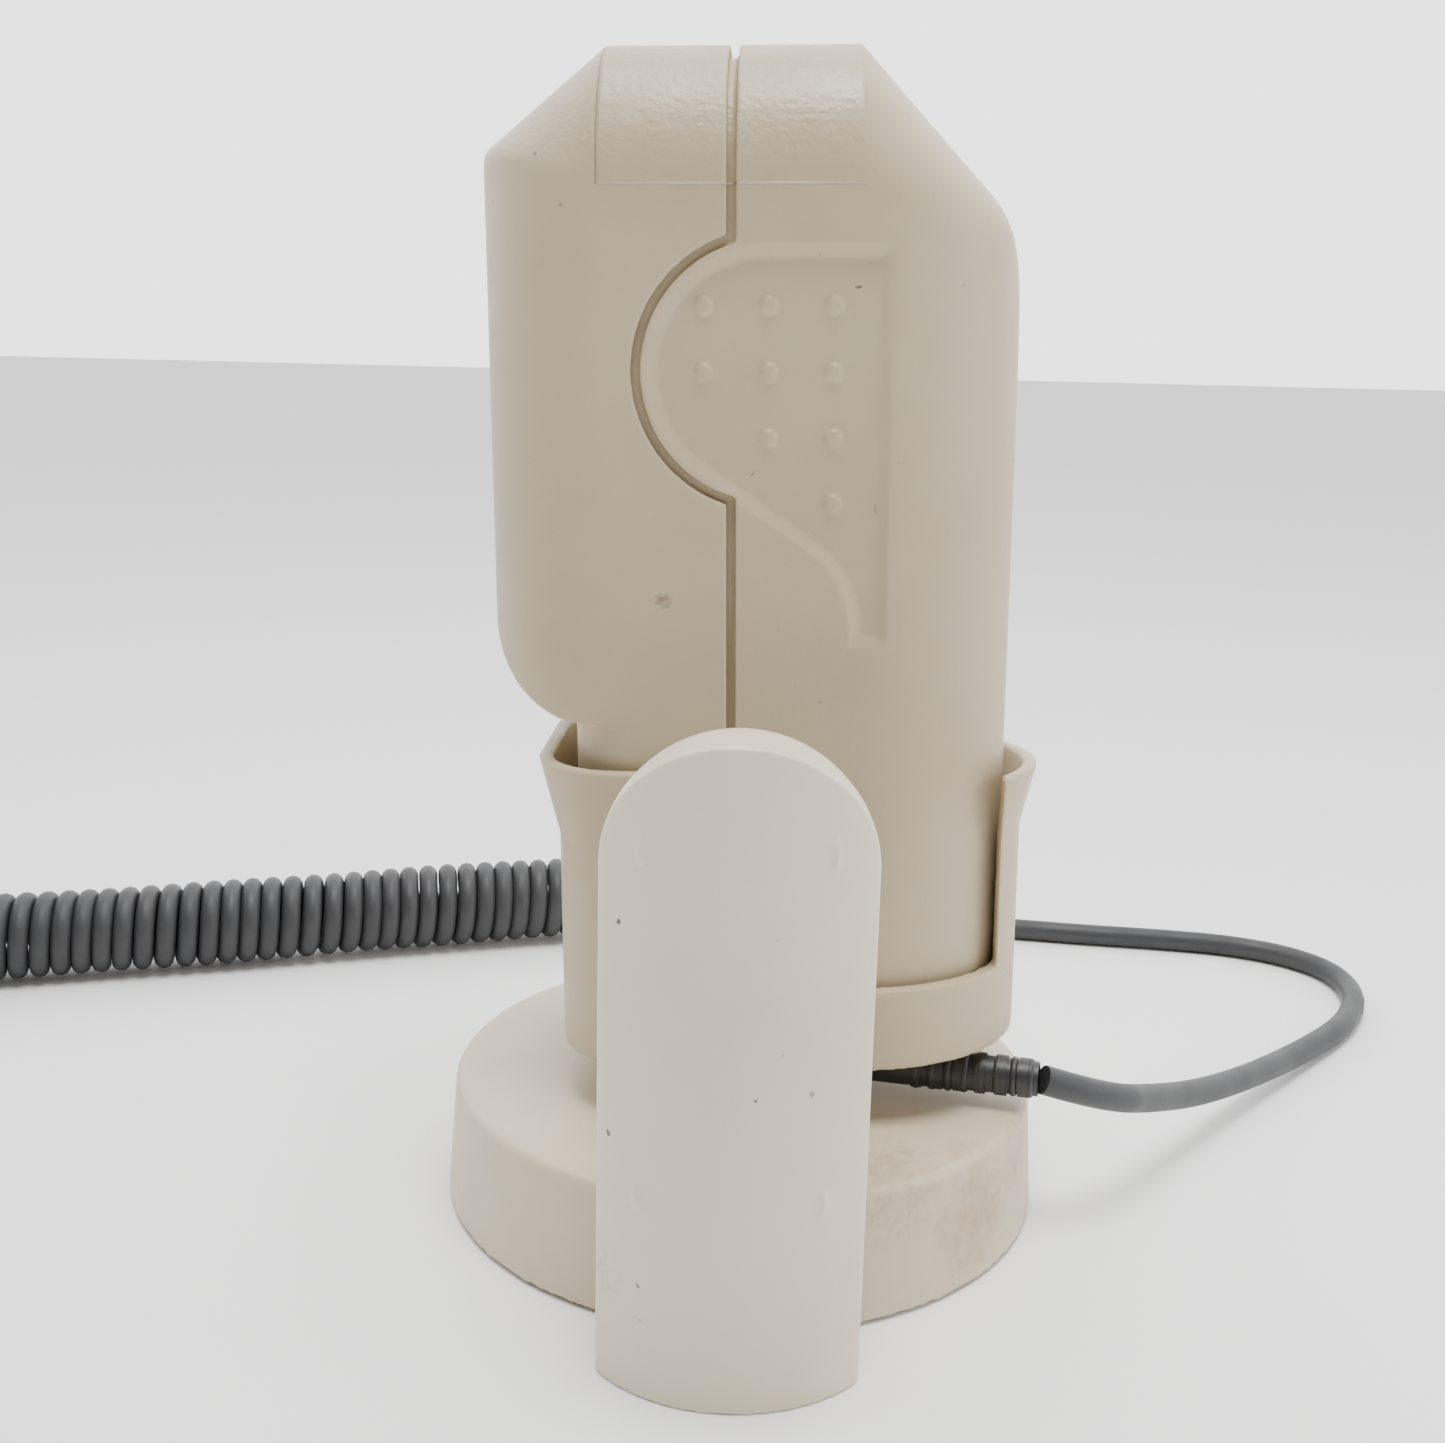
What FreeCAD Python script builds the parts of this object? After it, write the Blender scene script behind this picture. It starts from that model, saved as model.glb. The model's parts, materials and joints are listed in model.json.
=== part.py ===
import FreeCAD, Part
import math
import os
import re

import Sketcher
from FreeCAD import Placement, Rotation
from FreeCAD import Vector as V

# Hair dryer on its desk stand. The frame is the stand's: origin at the middle of the base disc on
# the table, +Z up, -Y towards the upright's face, +X to the side that the lead leaves on.
# Everything that tilts is drawn upright and gets the LEAN placement at the end.

doc = FreeCAD.newDocument("hair_dryer")

DRIVING = {
    # stand
    "disc_radius": 66.0,
    "disc_top_radius": 64.0,
    "disc_height": 27.4,
    "disc_wall": 2.6,
    "disc_lift": 0.8,
    "plate_radius": 60.5,
    "plate_thick": 2.0,
    "pad_radius": 57.5,
    "pad_thick": 2.0,
    "screw_circle": 52.0,
    "ballast_radius": 44.0,
    "ballast_thick": 11.0,
    "upright_half": 24.5,
    "upright_top": 123.5,
    "upright_back": 77.0,
    "upright_depth": 13.4,
    "upright_face": 32.0,
    "upright_wall": 2.2,
    "frame_thick": 3.0,
    # pivot
    "pivot_height": 77.0,
    "hub_radius": 15.0,
    "pin_radius": 4.0,
    "lean_degrees": 1.3,
    # holder cup
    "cup_wall": 3.0,
    "cup_gap": 1.0,
    "cup_bottom": 39.6,
    "cup_floor": 2.8,
    "cup_high": 103.0,
    "cup_low": 57.0,
    "cup_flare": 4.2,
    # dryer casing
    "casing_bottom": 43.0,
    "casing_spring": 217.0,
    "casing_half": 27.0,
    "casing_wall": 2.4,
    "left_flat": 28.0,
    "left_round": 25.5,
    "right_flat": 22.0,
    "right_round": 33.0,
    "tongue_left": 35.4,
    "bulb_low": 112.0,
    "bulb_high": 133.0,
    "corner_drop": 20.5,
    "shoulder_drop": 23.0,
    "parting": 2.8,
    "parting_width": 1.8,
    "lobe_across": 4.4,
    "lobe_height": 181.5,
    "lobe_radius": 25.6,
    "recess_depth": 1.5,
    "recess_slope": 2.6,
    "recess_side": 28.6,
    "recess_foot": 128.0,
    "bump_radius": 1.45,
    "bump_height": 0.8,
    "bump_pitch": 12.5,
    # air path
    "outlet_low": 138.0,
    "outlet_high": 218.0,
    "outlet_half": 11.0,
    "outlet_back": 10.5,
    "inlet_radius": 19.0,
    "wheel_radius": 22.5,
    "scroll_radius": 32.0,
    "motor_radius": 14.0,
    # lead
    "lead_radius": 3.2,
    "coil_radius": 12.8,
    "guard_radius": 4.4,
}

# places on the front, the back and the cup's floor, all before the lean
UPRIGHT_SCREWS = [(-14.0, 40.0), (14.0, 40.0), (-14.0, 104.0), (14.0, 104.0)]
BUMPS = [(-1, 1), (0, 1), (1, 1), (-1, 0), (0, 0), (1, 0), (0, -1), (1, -1), (1, -2)]
SWITCH_X, SWITCH_Z = 10.0, 134.0
BUTTON_X, BUTTON_Z = 10.0, 114.0
GUARD_X, GUARD_Y, GUARD_Z = 18.0, -8.5, 33.0
GUARD_TIP = V(63.0, -19.0, 33.0)

sheet = doc.addObject("Spreadsheet::Sheet", "sizes")
for row, (alias, amount) in enumerate(DRIVING.items(), start=1):
    sheet.set(f"A{row}", alias)
    sheet.set(f"B{row}", str(amount))
    sheet.setAlias(f"B{row}", alias)
doc.recompute()


def size(alias):
    """The number that a cell of the sheet holds."""
    return float(sheet.get(alias))


def bound(text):
    """An expression in which every alias points at the sheet."""
    return re.sub(r"[a-z][a-z_]+", lambda word: "sizes." + word.group(), str(text))


NODES = []
LEANING = set()


def node(name, piece, leans=False):
    """Names a finished sub-part and puts it on the list of those written out."""
    if leans and piece.ExpressionEngine:
        piece = group(name + "_solid", piece)
    piece.Label = name
    NODES.append(piece)
    if leans:
        LEANING.add(name)
    return piece


def primitive(kind, name, at=(0, 0, 0), turn=None, **sizes):
    """A Part primitive whose sizes and place are bound to the sheet."""
    piece = doc.addObject("Part::" + kind, name)
    if turn:
        piece.Placement = Placement(V(), Rotation(V(*turn[0]), turn[1]))
    for axis, text in zip("xyz", at):
        piece.setExpression(".Placement.Base." + axis, bound(text))
    for name_of_size, text in sizes.items():
        piece.setExpression(name_of_size, bound(text))
    return piece


ALONG_Y = ((1, 0, 0), -90)
ALONG_X = ((0, 1, 0), 90)


def box(name, corner, sides):
    return primitive("Box", name, corner, Length=sides[0], Width=sides[1], Height=sides[2])


def rod(name, at, radius, length, turn=None):
    return primitive("Cylinder", name, at, turn, Radius=radius, Height=length)


def cut(name, base, *tools):
    for number, tool in enumerate(tools):
        last = number == len(tools) - 1
        piece = doc.addObject("Part::Cut", name if last else f"{name}_{number}")
        piece.Base = base
        piece.Tool = tool
        base = piece
    return base


def fuse(name, *parts):
    piece = doc.addObject("Part::MultiFuse", name)
    piece.Shapes = list(parts)
    return piece


def common(name, *parts):
    piece = doc.addObject("Part::MultiCommon", name)
    piece.Shapes = list(parts)
    return piece


def group(name, *parts):
    """Separate identical solids kept together in one sub-part."""
    piece = doc.addObject("Part::Compound", name)
    piece.Links = list(parts)
    return piece


def drawn(name, shape):
    """A shape that is drawn with Part's own functions from the sheet's numbers."""
    piece = doc.addObject("Part::Feature", name)
    piece.Shape = shape
    return piece


def prism(name, face, along):
    """An extrusion of a drawn face along a vector."""
    piece = doc.addObject("Part::Extrusion", name)
    piece.Base = face
    piece.DirMode = "Custom"
    piece.Dir = along
    piece.LengthFwd = along.Length
    piece.Solid = True
    return piece


# ---------------------------------------------------------------- sketches and bodies


def body(name):
    return doc.addObject("PartDesign::Body", name)


def plane_of(owner, role):
    return next(f for f in owner.Origin.OriginFeatures if f.Role == role)


def sketch(owner, name, role, offset=0.0):
    """An empty sketch on one of the body's own origin planes, moved along the plane's normal."""
    drawing = owner.newObject("Sketcher::SketchObject", name)
    drawing.AttachmentSupport = [(plane_of(owner, role), "")]
    drawing.MapMode = "FlatFace"
    drawing.AttachmentOffset = Placement(V(0, 0, offset), Rotation())
    return drawing


def ring(drawing, radius, across=0.0, along=0.0):
    """A circle whose radius is bound to the sheet."""
    number = drawing.addGeometry(Part.Circle(V(across, along, 0), V(0, 0, 1), 1.0), False)
    rule = drawing.addConstraint(Sketcher.Constraint("Radius", number, 1.0))
    drawing.setExpression(f"Constraints[{rule}]", bound(radius))


def loop(drawing, points):
    """A closed run of straight edges."""
    for start, end in zip(points, points[1:] + points[:1]):
        drawing.addGeometry(Part.LineSegment(V(*start, 0), V(*end, 0)), False)


def pad(owner, name, drawing, length, reverse=False):
    feature = owner.newObject("PartDesign::Pad", name)
    feature.Profile = drawing
    feature.Reversed = reverse
    feature.setExpression("Length", bound(length))
    return feature


def pocket(owner, name, drawing, length, reverse=False):
    feature = owner.newObject("PartDesign::Pocket", name)
    feature.Profile = drawing
    feature.Reversed = reverse
    feature.setExpression("Length", bound(length))
    return feature


def revolve(owner, name, drawing):
    feature = owner.newObject("PartDesign::Revolution", name)
    feature.Profile = drawing
    feature.ReferenceAxis = (drawing, ["V_Axis"])
    feature.Angle = 360
    return feature


def round_edges(owner, name, feature, radius, chosen):
    """A fillet on every edge of a feature that chosen picks."""
    names = [f"Edge{i}" for i, edge in enumerate(feature.Shape.Edges, 1) if chosen(edge)]
    soft = owner.newObject("PartDesign::Fillet", name)
    soft.Base = (feature, names)
    soft.Radius = radius
    return soft


def polar(owner, name, feature, axis_role, count):
    pattern = owner.newObject("PartDesign::PolarPattern", name)
    pattern.Originals = [feature]
    pattern.Axis = (plane_of(owner, axis_role), [""])
    pattern.Angle = 360
    pattern.Occurrences = count
    owner.Tip = pattern
    return pattern


# ---------------------------------------------------------------- stand


def base_shell():
    """The beige disc: a dish moulded open below, with four screw bosses and a notch for the foot."""
    top, wall, lift = size("disc_height"), size("disc_wall"), size("disc_lift")
    dish = body("base_dish")
    profile = sketch(dish, "dish_profile", "XZ_Plane")
    loop(
        profile,
        [
            (0.0, top),
            (size("disc_top_radius"), top),
            (size("disc_radius"), lift),
            (size("disc_radius") - wall, lift),
            (size("disc_top_radius") - wall, top - wall),
            (0.0, top - wall),
        ],
    )
    turned = revolve(dish, "dish", profile)
    doc.recompute()
    round_edges(dish, "dish_edge", turned, 1.8, lambda e: e.BoundBox.ZMin > top - 0.01)
    bosses = []
    for number in range(4):
        turn = math.radians(45 + 90 * number)
        x, y = (size("screw_circle") * f(turn) for f in (math.cos, math.sin))
        post = rod(f"boss_{number}", (x, y, 4.6), 4.0, "disc_height - disc_wall - 4.5")
        hole = rod(f"boss_bore_{number}", (x, y, 4.0), 1.25, 12.0)
        bosses.append(cut(f"screw_boss_{number}", post, hole))
    notch = box("foot_notch", (-18.3, -72, 0), (36.6, 16, 22.3))
    return node("base_shell", cut("base_shell", fuse("dish_and_bosses", dish, *bosses), notch))


def base_plate():
    """The steel closing plate, with four countersunk screw holes."""
    plate = body("base_plate")
    blank = sketch(plate, "plate_outline", "XY_Plane", size("pad_thick"))
    ring(blank, "plate_radius")
    pad(plate, "plate_blank", blank, "plate_thick")
    doc.recompute()
    x = size("screw_circle") * math.cos(math.pi / 4)
    drill = sketch(plate, "plate_hole", "XY_Plane", size("pad_thick"))
    ring(drill, 1.8, x, x)
    hole = pocket(plate, "plate_drill", drill, "plate_thick + 1", reverse=True)
    doc.recompute()
    polar(plate, "plate_holes", hole, "Z_Axis", 4)
    return node("base_plate", plate)


def ballast_weight():
    """The cast iron ring that keeps the stand on its feet."""
    low = "pad_thick + plate_thick + 0.2"
    disc = rod("ballast_blank", (0, 0, low), "ballast_radius", "ballast_thick")
    bore = rod("ballast_bore", (0, 0, 3), 9.0, 20)
    seat = box("ballast_seat", (-19, -60, 3), (38, 22.6, 20))
    return node("ballast_weight", cut("ballast_weight", disc, bore, seat))


def rubber_pad():
    """The anti-slip pad under the plate, which leaves the four screw heads free."""
    mat = body("rubber_pad")
    blank = sketch(mat, "pad_outline", "XY_Plane")
    ring(blank, "pad_radius")
    pad(mat, "pad_blank", blank, "pad_thick")
    doc.recompute()
    x = size("screw_circle") * math.cos(math.pi / 4)
    window = sketch(mat, "pad_window", "XY_Plane")
    ring(window, 4.0, x, x)
    hole = pocket(mat, "pad_punch", window, "pad_thick + 1", reverse=True)
    doc.recompute()
    polar(mat, "pad_windows", hole, "Z_Axis", 4)
    return node("rubber_pad", mat)


def base_screws():
    screws = []
    for number in range(4):
        turn = math.radians(45 + 90 * number)
        x, y = (size("screw_circle") * f(turn) for f in (math.cos, math.sin))
        place = (x, y, 0.7)
        head = primitive("Cone", f"base_head_{number}", place, Radius1=3.0, Radius2=1.5, Height=1.3)
        shank = rod(f"base_shank_{number}", (x, y, 1.9), 1.2, 12.0)
        screws.append(fuse(f"base_screw_{number}", head, shank))
    return node("base_screws", group("base_screws", *screws))


def arch(name, back, depth, inset=0.0, foot=0.0):
    """A slab with a half-round top, from the plane y = -back towards the face, by depth."""
    half = size("upright_half") - inset
    spring = size("upright_top") - size("upright_half")
    left, right = V(-half, -back, foot), V(half, -back, foot)
    high_left, high_right = V(-half, -back, spring), V(half, -back, spring)
    edges = [
        Part.makeLine(left, right),
        Part.makeLine(right, high_right),
        Part.Arc(high_right, V(0, -back, spring + half), high_left).toShape(),
        Part.makeLine(high_left, left),
    ]
    outline = drawn(name + "_outline", Part.Face(Part.Wire(edges)))
    return prism(name, outline, V(0, -depth, 0))


def upright_cover():
    """The front cover of the upright: a bowed face with a half-round top, hollow behind."""
    deep = size("upright_depth")
    bow = "upright_face - upright_back - upright_depth"
    drum = rod("face_bow", (0, bow, -5), "upright_face", "upright_top + 10")
    skin = common("cover_skin", arch("cover_block", size("upright_back"), deep), drum)
    wall = size("upright_wall")
    inner_drum = rod("face_bow_inner", (0, bow, -5), "upright_face - upright_wall", "upright_top + 10")
    core_block = arch("cover_core_block", size("upright_back") - 1, deep, wall, wall)
    core = common("cover_core", core_block, inner_drum)
    posts = []
    for number, (x, z) in enumerate(UPRIGHT_SCREWS):
        post = rod(f"cover_post_{number}", (x, "0 - upright_back - 9.4", z), 3.2, 9.2, ALONG_Y)
        bore = rod(f"cover_bore_{number}", (x, "0 - upright_back - 8", z), 1.2, 9, ALONG_Y)
        posts.append(cut(f"cover_boss_{number}", post, bore))
    hollow = cut("cover_hollow", skin, core)
    return node("upright_cover", fuse("upright_cover", hollow, *posts))


def upright_frame():
    """The carrying plate behind the cover, its foot into the disc and its half of the pivot hub."""
    back, thick = size("upright_back"), size("frame_thick")
    plate = arch("frame_plate", back - thick - 0.1, thick, 0.6, size("disc_lift"))
    foot = box("frame_foot", (-18, "0.1 - upright_back", 4.2), (36, "upright_back - 41", 17.8))
    near, far = 1 - back, -66.8
    corners = [V(-3, near, 20), V(-3, far, 30), V(-3, far, 60), V(-3, near, 66)]
    gusset_face = Part.Face(Part.makePolygon([*corners, corners[0]]))
    gusset = prism("frame_gusset", drawn("gusset_outline", gusset_face), V(6, 0, 0))
    hub_place = (0, "frame_thick - upright_back - 0.5", "pivot_height")
    hub = rod("frame_hub", hub_place, "hub_radius + 1", 22, ALONG_Y)
    bore = rod("frame_bore", (0, -80, "pivot_height"), "pin_radius + 2", 40, ALONG_Y)
    holes = []
    for number, (x, z) in enumerate(UPRIGHT_SCREWS):
        holes.append(rod(f"frame_hole_{number}", (x, -80, z), 1.7, 10, ALONG_Y))
    # the disc's top surface stays above the foot, so the foot is lowered where it runs under it
    lower = box("foot_step", (-20, "4 - disc_radius", 18), (40, 60, 20))
    step = cut("frame_foot_stepped", foot, lower)
    solid = fuse("frame_solid", plate, step, gusset, hub)
    return node("upright_frame", cut("upright_frame", solid, bore, *holes))


def upright_screws():
    screws = []
    for number, (x, z) in enumerate(UPRIGHT_SCREWS):
        head = rod(f"cover_head_{number}", (x, -73.9, z), 2.8, 1.8, ALONG_Y)
        shank = rod(f"cover_shank_{number}", (x, -83.4, z), 1.15, 9.6, ALONG_Y)
        screws.append(fuse(f"cover_screw_{number}", head, shank))
    return node("upright_screws", group("upright_screws", *screws))


def pivot_bush():
    tube = rod("bush_outer", (0, -76.9, "pivot_height"), "pin_radius + 1.95", 24, ALONG_Y)
    bore = rod("bush_bore", (0, -78, "pivot_height"), "pin_radius + 0.05", 40, ALONG_Y)
    return node("pivot_bush", cut("pivot_bush", tube, bore))


# ---------------------------------------------------------------- holder


def pivot_pin():
    """The pin that the cup turns on: threaded in front, keyed into the cup's hub behind."""
    shaft = rod("pin_shaft", (0, -85.5, "pivot_height"), "pin_radius", 53.5, ALONG_Y)
    head = rod("pin_collar", (0, -49.5, "pivot_height"), "pin_radius + 4", 3.5, ALONG_Y)
    return node("pivot_pin", fuse("pivot_pin", shaft, head), leans=True)


def friction_washer():
    disc = rod("washer_blank", (0, -79.3, "pivot_height"), 9.0, 1.6, ALONG_Y)
    bore = rod("washer_bore", (0, -81, "pivot_height"), "pin_radius + 0.05", 6, ALONG_Y)
    return node("friction_washer", cut("friction_washer", disc, bore), leans=True)


def pivot_nut():
    """The hexagon nut that sets how hard the tilt brakes."""
    nut = body("pivot_nut")
    outline = sketch(nut, "nut_outline", "XZ_Plane", 79.5)
    reach, height = 7.5, size("pivot_height")
    turns = [math.radians(60 * i) for i in range(6)]
    loop(outline, [(reach * math.cos(a), height + reach * math.sin(a)) for a in turns])
    ring(outline, "pin_radius + 0.02", 0.0, height)
    pad(nut, "nut_blank", outline, 5.0)
    return node("pivot_nut", nut, leans=True)


def cup_outline(height, grow, flare=0.0):
    """The cup's level section: a round left end, a long half-oval right end, straight between.

    grow is how far it lies outside the cup's inner face, and flare how far the ends lean out.
    """
    deep = size("casing_half") + size("cup_gap") + grow
    left = -(size("tongue_left") + size("cup_gap") + grow + flare)
    bend = 15.0 + grow
    flat = size("right_flat")
    reach = size("right_round") + size("cup_gap") + grow + flare
    corner_low, corner_high = V(left + bend, -deep, height), V(left + bend, deep, height)
    side_low, side_high = V(left, bend - deep, height), V(left, deep - bend, height)
    diagonal = bend * (1 - math.sqrt(0.5))
    edges = [
        Part.makeLine(V(flat, deep, height), corner_high),
        Part.Arc(corner_high, V(left + diagonal, deep - diagonal, height), side_high).toShape(),
        Part.makeLine(side_high, side_low),
        Part.Arc(side_low, V(left + diagonal, diagonal - deep, height), corner_low).toShape(),
        Part.makeLine(corner_low, V(flat, -deep, height)),
    ]
    oval = Part.Ellipse(V(flat, 0, height), reach, deep)
    edges.append(Part.ArcOfEllipse(oval, -math.pi / 2, math.pi / 2).toShape())
    return Part.Wire(Part.__sortEdges__(edges))


def holder_cup():
    """The cup that the dryer stands in, cut low in front of the right side and lipped at the ends."""
    low, high = size("cup_bottom"), size("cup_high")
    wall = size("cup_wall")
    levels = [low, 86.0, high]
    flares = [0.0, 0.0, size("cup_flare")]
    outside = Part.makeLoft([cup_outline(z, wall, f) for z, f in zip(levels, flares)], True, True)
    levels[0] = low + size("cup_floor")
    levels[2] = high + 0.01
    inside = Part.makeLoft([cup_outline(z, 0.0, f) for z, f in zip(levels, flares)], True, True)
    tub = cut("cup_tub", drawn("cup_outside", outside), drawn("cup_inside", inside))
    low_front = box("low_rim", (12, -40, "cup_low"), (41, 80, 60))
    ear_top = box("ear_top", (50, -40, 99.5), (20, 80, 20))
    lead_hole = rod("lead_hole", (GUARD_X, GUARD_Y, 30), "guard_radius + 1.6", 20)
    hub = rod("cup_hub", (0, -51.7, "pivot_height"), "hub_radius", 22.5, ALONG_Y)
    hub_bore = rod("hub_bore", (0, -52, "pivot_height"), "pin_radius - 0.05", 21, ALONG_Y)
    collar_seat = rod("hub_seat", (0, -49.55, "pivot_height"), "pin_radius + 4.05", 3.6, ALONG_Y)
    walls = cut("cup_walls", tub, low_front, ear_top, lead_hole)
    room = Part.makeLoft([cup_outline(z, 0.0) for z in (45.0, 100.0)], True, True)
    trimmed = fuse("cup_and_hub", walls, cut("hub_clear", hub, drawn("cup_room", room)))
    return node("holder_cup", cut("holder_cup", trimmed, hub_bore, collar_seat), leans=True)


def cord_guard():
    """The moulded strain relief: an elbow clipped into the cup's floor, ribbed and tapering outwards."""
    top = V(GUARD_X, GUARD_Y, size("cup_bottom") + size("cup_floor"))
    corner = V(GUARD_X, GUARD_Y, GUARD_Z)
    along = (GUARD_TIP - corner).normalize()
    bend = 7.0
    start, end = corner + V(0, 0, bend), corner + along * bend
    middle = corner + (V(0, 0, 1) + along) * (bend * (1 - math.sqrt(0.5)))
    spine = Part.Wire(
        [
            Part.makeLine(top, start),
            Part.Arc(start, middle, end).toShape(),
            Part.makeLine(end, corner + along * 18),
        ]
    )
    radius = size("guard_radius")
    mouth = Part.Wire(Part.makeCircle(radius, top, V(0, 0, -1)))
    elbow = spine.makePipeShell([mouth], True, False)
    taper = Part.makeCone(radius, radius - 0.7, (GUARD_TIP - corner).Length - 18, corner + along * 18, along)
    tunnel = Part.makeCylinder(size("lead_radius"), 4.0, GUARD_TIP - along * 4, along)
    parts = [drawn("guard_elbow", elbow), drawn("guard_taper", taper)]
    for number in range(6):
        place = corner + along * (19 + 4.6 * number)
        rib = Part.makeCylinder(radius + 0.25 - 0.08 * number, 2.2, place, along)
        parts.append(drawn(f"guard_rib_{number}", rib))
    whole = fuse("guard_whole", *parts)
    return node("cord_guard", cut("cord_guard", whole, drawn("guard_tunnel", tunnel)), leans=True)


# ---------------------------------------------------------------- dryer casing


def side_profile(name, across, inset):
    """The casing seen from its side: straight legs under a half-round top."""
    half, spring = size("casing_half") - inset, size("casing_spring")
    high_front, high_back = V(across, -half, spring), V(across, half, spring)
    edges = [
        Part.makeLine(V(across, -half, 0), V(across, half, 0)),
        Part.makeLine(V(across, half, 0), high_back),
        Part.Arc(high_back, V(across, 0, spring + half), high_front).toShape(),
        Part.makeLine(high_front, V(across, -half, 0)),
    ]
    return drawn(name, Part.Face(Part.Wire(edges)))


def casing_section(name, inset):
    """The casing seen from above: a round left edge and a half-oval right edge, flat between."""
    half = size("casing_half") - inset
    left, reach = size("left_flat"), size("left_round") - inset
    right, wide = size("right_flat"), size("right_round") - inset
    low = size("casing_bottom") + inset
    left_oval = Part.Ellipse(V(-left, half, low), V(-left - reach, 0, low), V(-left, 0, low))
    right_oval = Part.Ellipse(V(right + wide, 0, low), V(right, half, low), V(right, 0, low))
    edges = [
        Part.ArcOfEllipse(left_oval, 0, math.pi).toShape(),
        Part.makeLine(V(-left, -half, low), V(right, -half, low)),
        Part.ArcOfEllipse(right_oval, -math.pi / 2, math.pi / 2).toShape(),
        Part.makeLine(V(right, half, low), V(-left, half, low)),
    ]
    return drawn(name, Part.Face(Part.Wire(Part.__sortEdges__(edges))))


def casing_front(name, inset):
    """The casing seen from the front, with the bulb above the tongue and the round shoulder."""
    deep = 40.0
    high = size("casing_spring") + size("casing_half") + 35
    low = size("casing_bottom") - 1
    tongue = inset - size("tongue_left")
    step = tongue - 0.01
    bulb_low, bulb_high = size("bulb_low") + inset, size("bulb_high")
    edge = -size("left_flat") - size("left_round")
    right = size("right_flat") + size("right_round") - inset
    # the round shoulder: an arc about its centre, then a straight slope on to the top
    middle, end = 0.38, 0.76
    centre, reach = V(18.0, -deep, 195.0), right - 18.0
    shoulder = [centre + V(reach * math.cos(a), 0, reach * math.sin(a)) for a in (0.0, middle, end)]
    slope_end = shoulder[2] + V(-math.sin(end), 0, math.cos(end)) * 60
    # the bulb: its underside sweeps from the left side in to the tongue
    outside, bulb_side = V(edge - 2, -deep, bulb_high), V(edge + inset, -deep, bulb_high)
    belly = V(edge + 5.5 + inset, -deep, bulb_low + 7.5)
    bulb_foot, tongue_foot = V(step, -deep, bulb_low), V(tongue, -deep, low)
    corner, high_left = V(right, -deep, low), V(edge - 2, -deep, high)
    edges = [
        Part.makeLine(tongue_foot, corner),
        Part.makeLine(corner, shoulder[0]),
        Part.Arc(*shoulder).toShape(),
        Part.makeLine(shoulder[2], slope_end),
        Part.makeLine(slope_end, high_left),
        Part.makeLine(high_left, outside),
        Part.makeLine(outside, bulb_side),
        Part.Arc(bulb_side, belly, bulb_foot).toShape(),
        Part.makeLine(bulb_foot, tongue_foot),
    ]
    outline = drawn(name, Part.Face(Part.Wire(edges)))
    return prism(name + "_prism", outline, V(0, 2 * deep, 0))


def casing(name, inset):
    """The whole casing, shrunk by inset: what the section, the side and the front have in common."""
    left, right = -size("left_flat"), size("right_flat")
    reach_left, reach_right = 27.0, 34.0
    shoulder_run = 21.5
    fall_left = -size("corner_drop") / size("left_round") * reach_left
    fall_right = -size("shoulder_drop") / shoulder_run * reach_right
    stretches = (
        ("middle", left, V(right - left, 0, 0)),
        ("corner", left, V(-reach_left, 0, fall_left)),
        ("shoulder", right, V(reach_right, 0, fall_right)),
    )
    solids = []
    for part, start, along in stretches:
        profile = side_profile(f"{name}_side_{part}", start, inset)
        solids.append(prism(f"{name}_{part}", profile, along))
    top = fuse(name + "_top", *solids)
    column = doc.addObject("Part::Extrusion", name + "_column")
    column.Base = casing_section(name + "_section", inset)
    column.DirMode = "Custom"
    column.Dir = V(0, 0, 1)
    column.Solid = True
    column.setExpression("LengthFwd", bound("casing_spring + casing_half"))
    # below the bulb the casing narrows to a tongue with the cup's own rounded section
    tongue_face = Part.Face(cup_outline(size("casing_bottom") - 1, -size("cup_gap") - inset))
    tongue = prism(name + "_tongue", drawn(name + "_tongue_face", tongue_face), V(0, 0, 80))
    above = box(name + "_above", (-70, -40, f"bulb_low + {inset}"), (140, 80, 140))
    room = fuse(name + "_room", tongue, above)
    return common(name, top, column, casing_front(name + "_front", inset), room)


def parting_region(name, side, half_gap, deep=40.0):
    """Everything on one side of the parting line, which goes round the lobe as an arc."""
    line = -size("parting") + side * half_gap
    radius = size("lobe_radius") - side * half_gap
    across, height = size("lobe_across"), size("lobe_height")
    rise = math.sqrt(radius**2 - (across - line) ** 2)
    far = 120.0 * side
    lobe_low, lobe_high = V(line, -deep, height - rise), V(line, -deep, height + rise)
    edges = [
        Part.makeLine(V(line, -deep, -10), lobe_low),
        Part.Arc(lobe_low, V(across - radius, -deep, height), lobe_high).toShape(),
        Part.makeLine(lobe_high, V(line, -deep, 300)),
        Part.makeLine(V(line, -deep, 300), V(far, -deep, 300)),
        Part.makeLine(V(far, -deep, 300), V(far, -deep, -10)),
        Part.makeLine(V(far, -deep, -10), V(line, -deep, -10)),
    ]
    outline = drawn(name + "_outline", Part.Face(Part.Wire(edges)))
    return prism(name, outline, V(0, 2 * deep, 0))


def outlet_window(name, margin, deep=(-60.0, -40.0)):
    """A block as large as the outlet in the left side, less margin all round."""
    height = f"outlet_high - outlet_low - {2 * margin}"
    corner = (deep[0], f"{margin} + outlet_back - outlet_half", f"outlet_low + {margin}")
    return box(name, corner, (deep[1] - deep[0], f"2 * outlet_half - {2 * margin}", height))


def left_shell():
    """The front shell of the air outlet side, with its window for the outlet grille."""
    hollow = cut("left_hollow", casing("left_outer", 0.0), casing("left_inner", size("casing_wall")))
    half = common("left_half", hollow, parting_region("left_region", -1, size("parting_width") / 2))
    return node("left_shell", cut("left_shell", half, outlet_window("left_window", 0.0)), leans=True)


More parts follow.
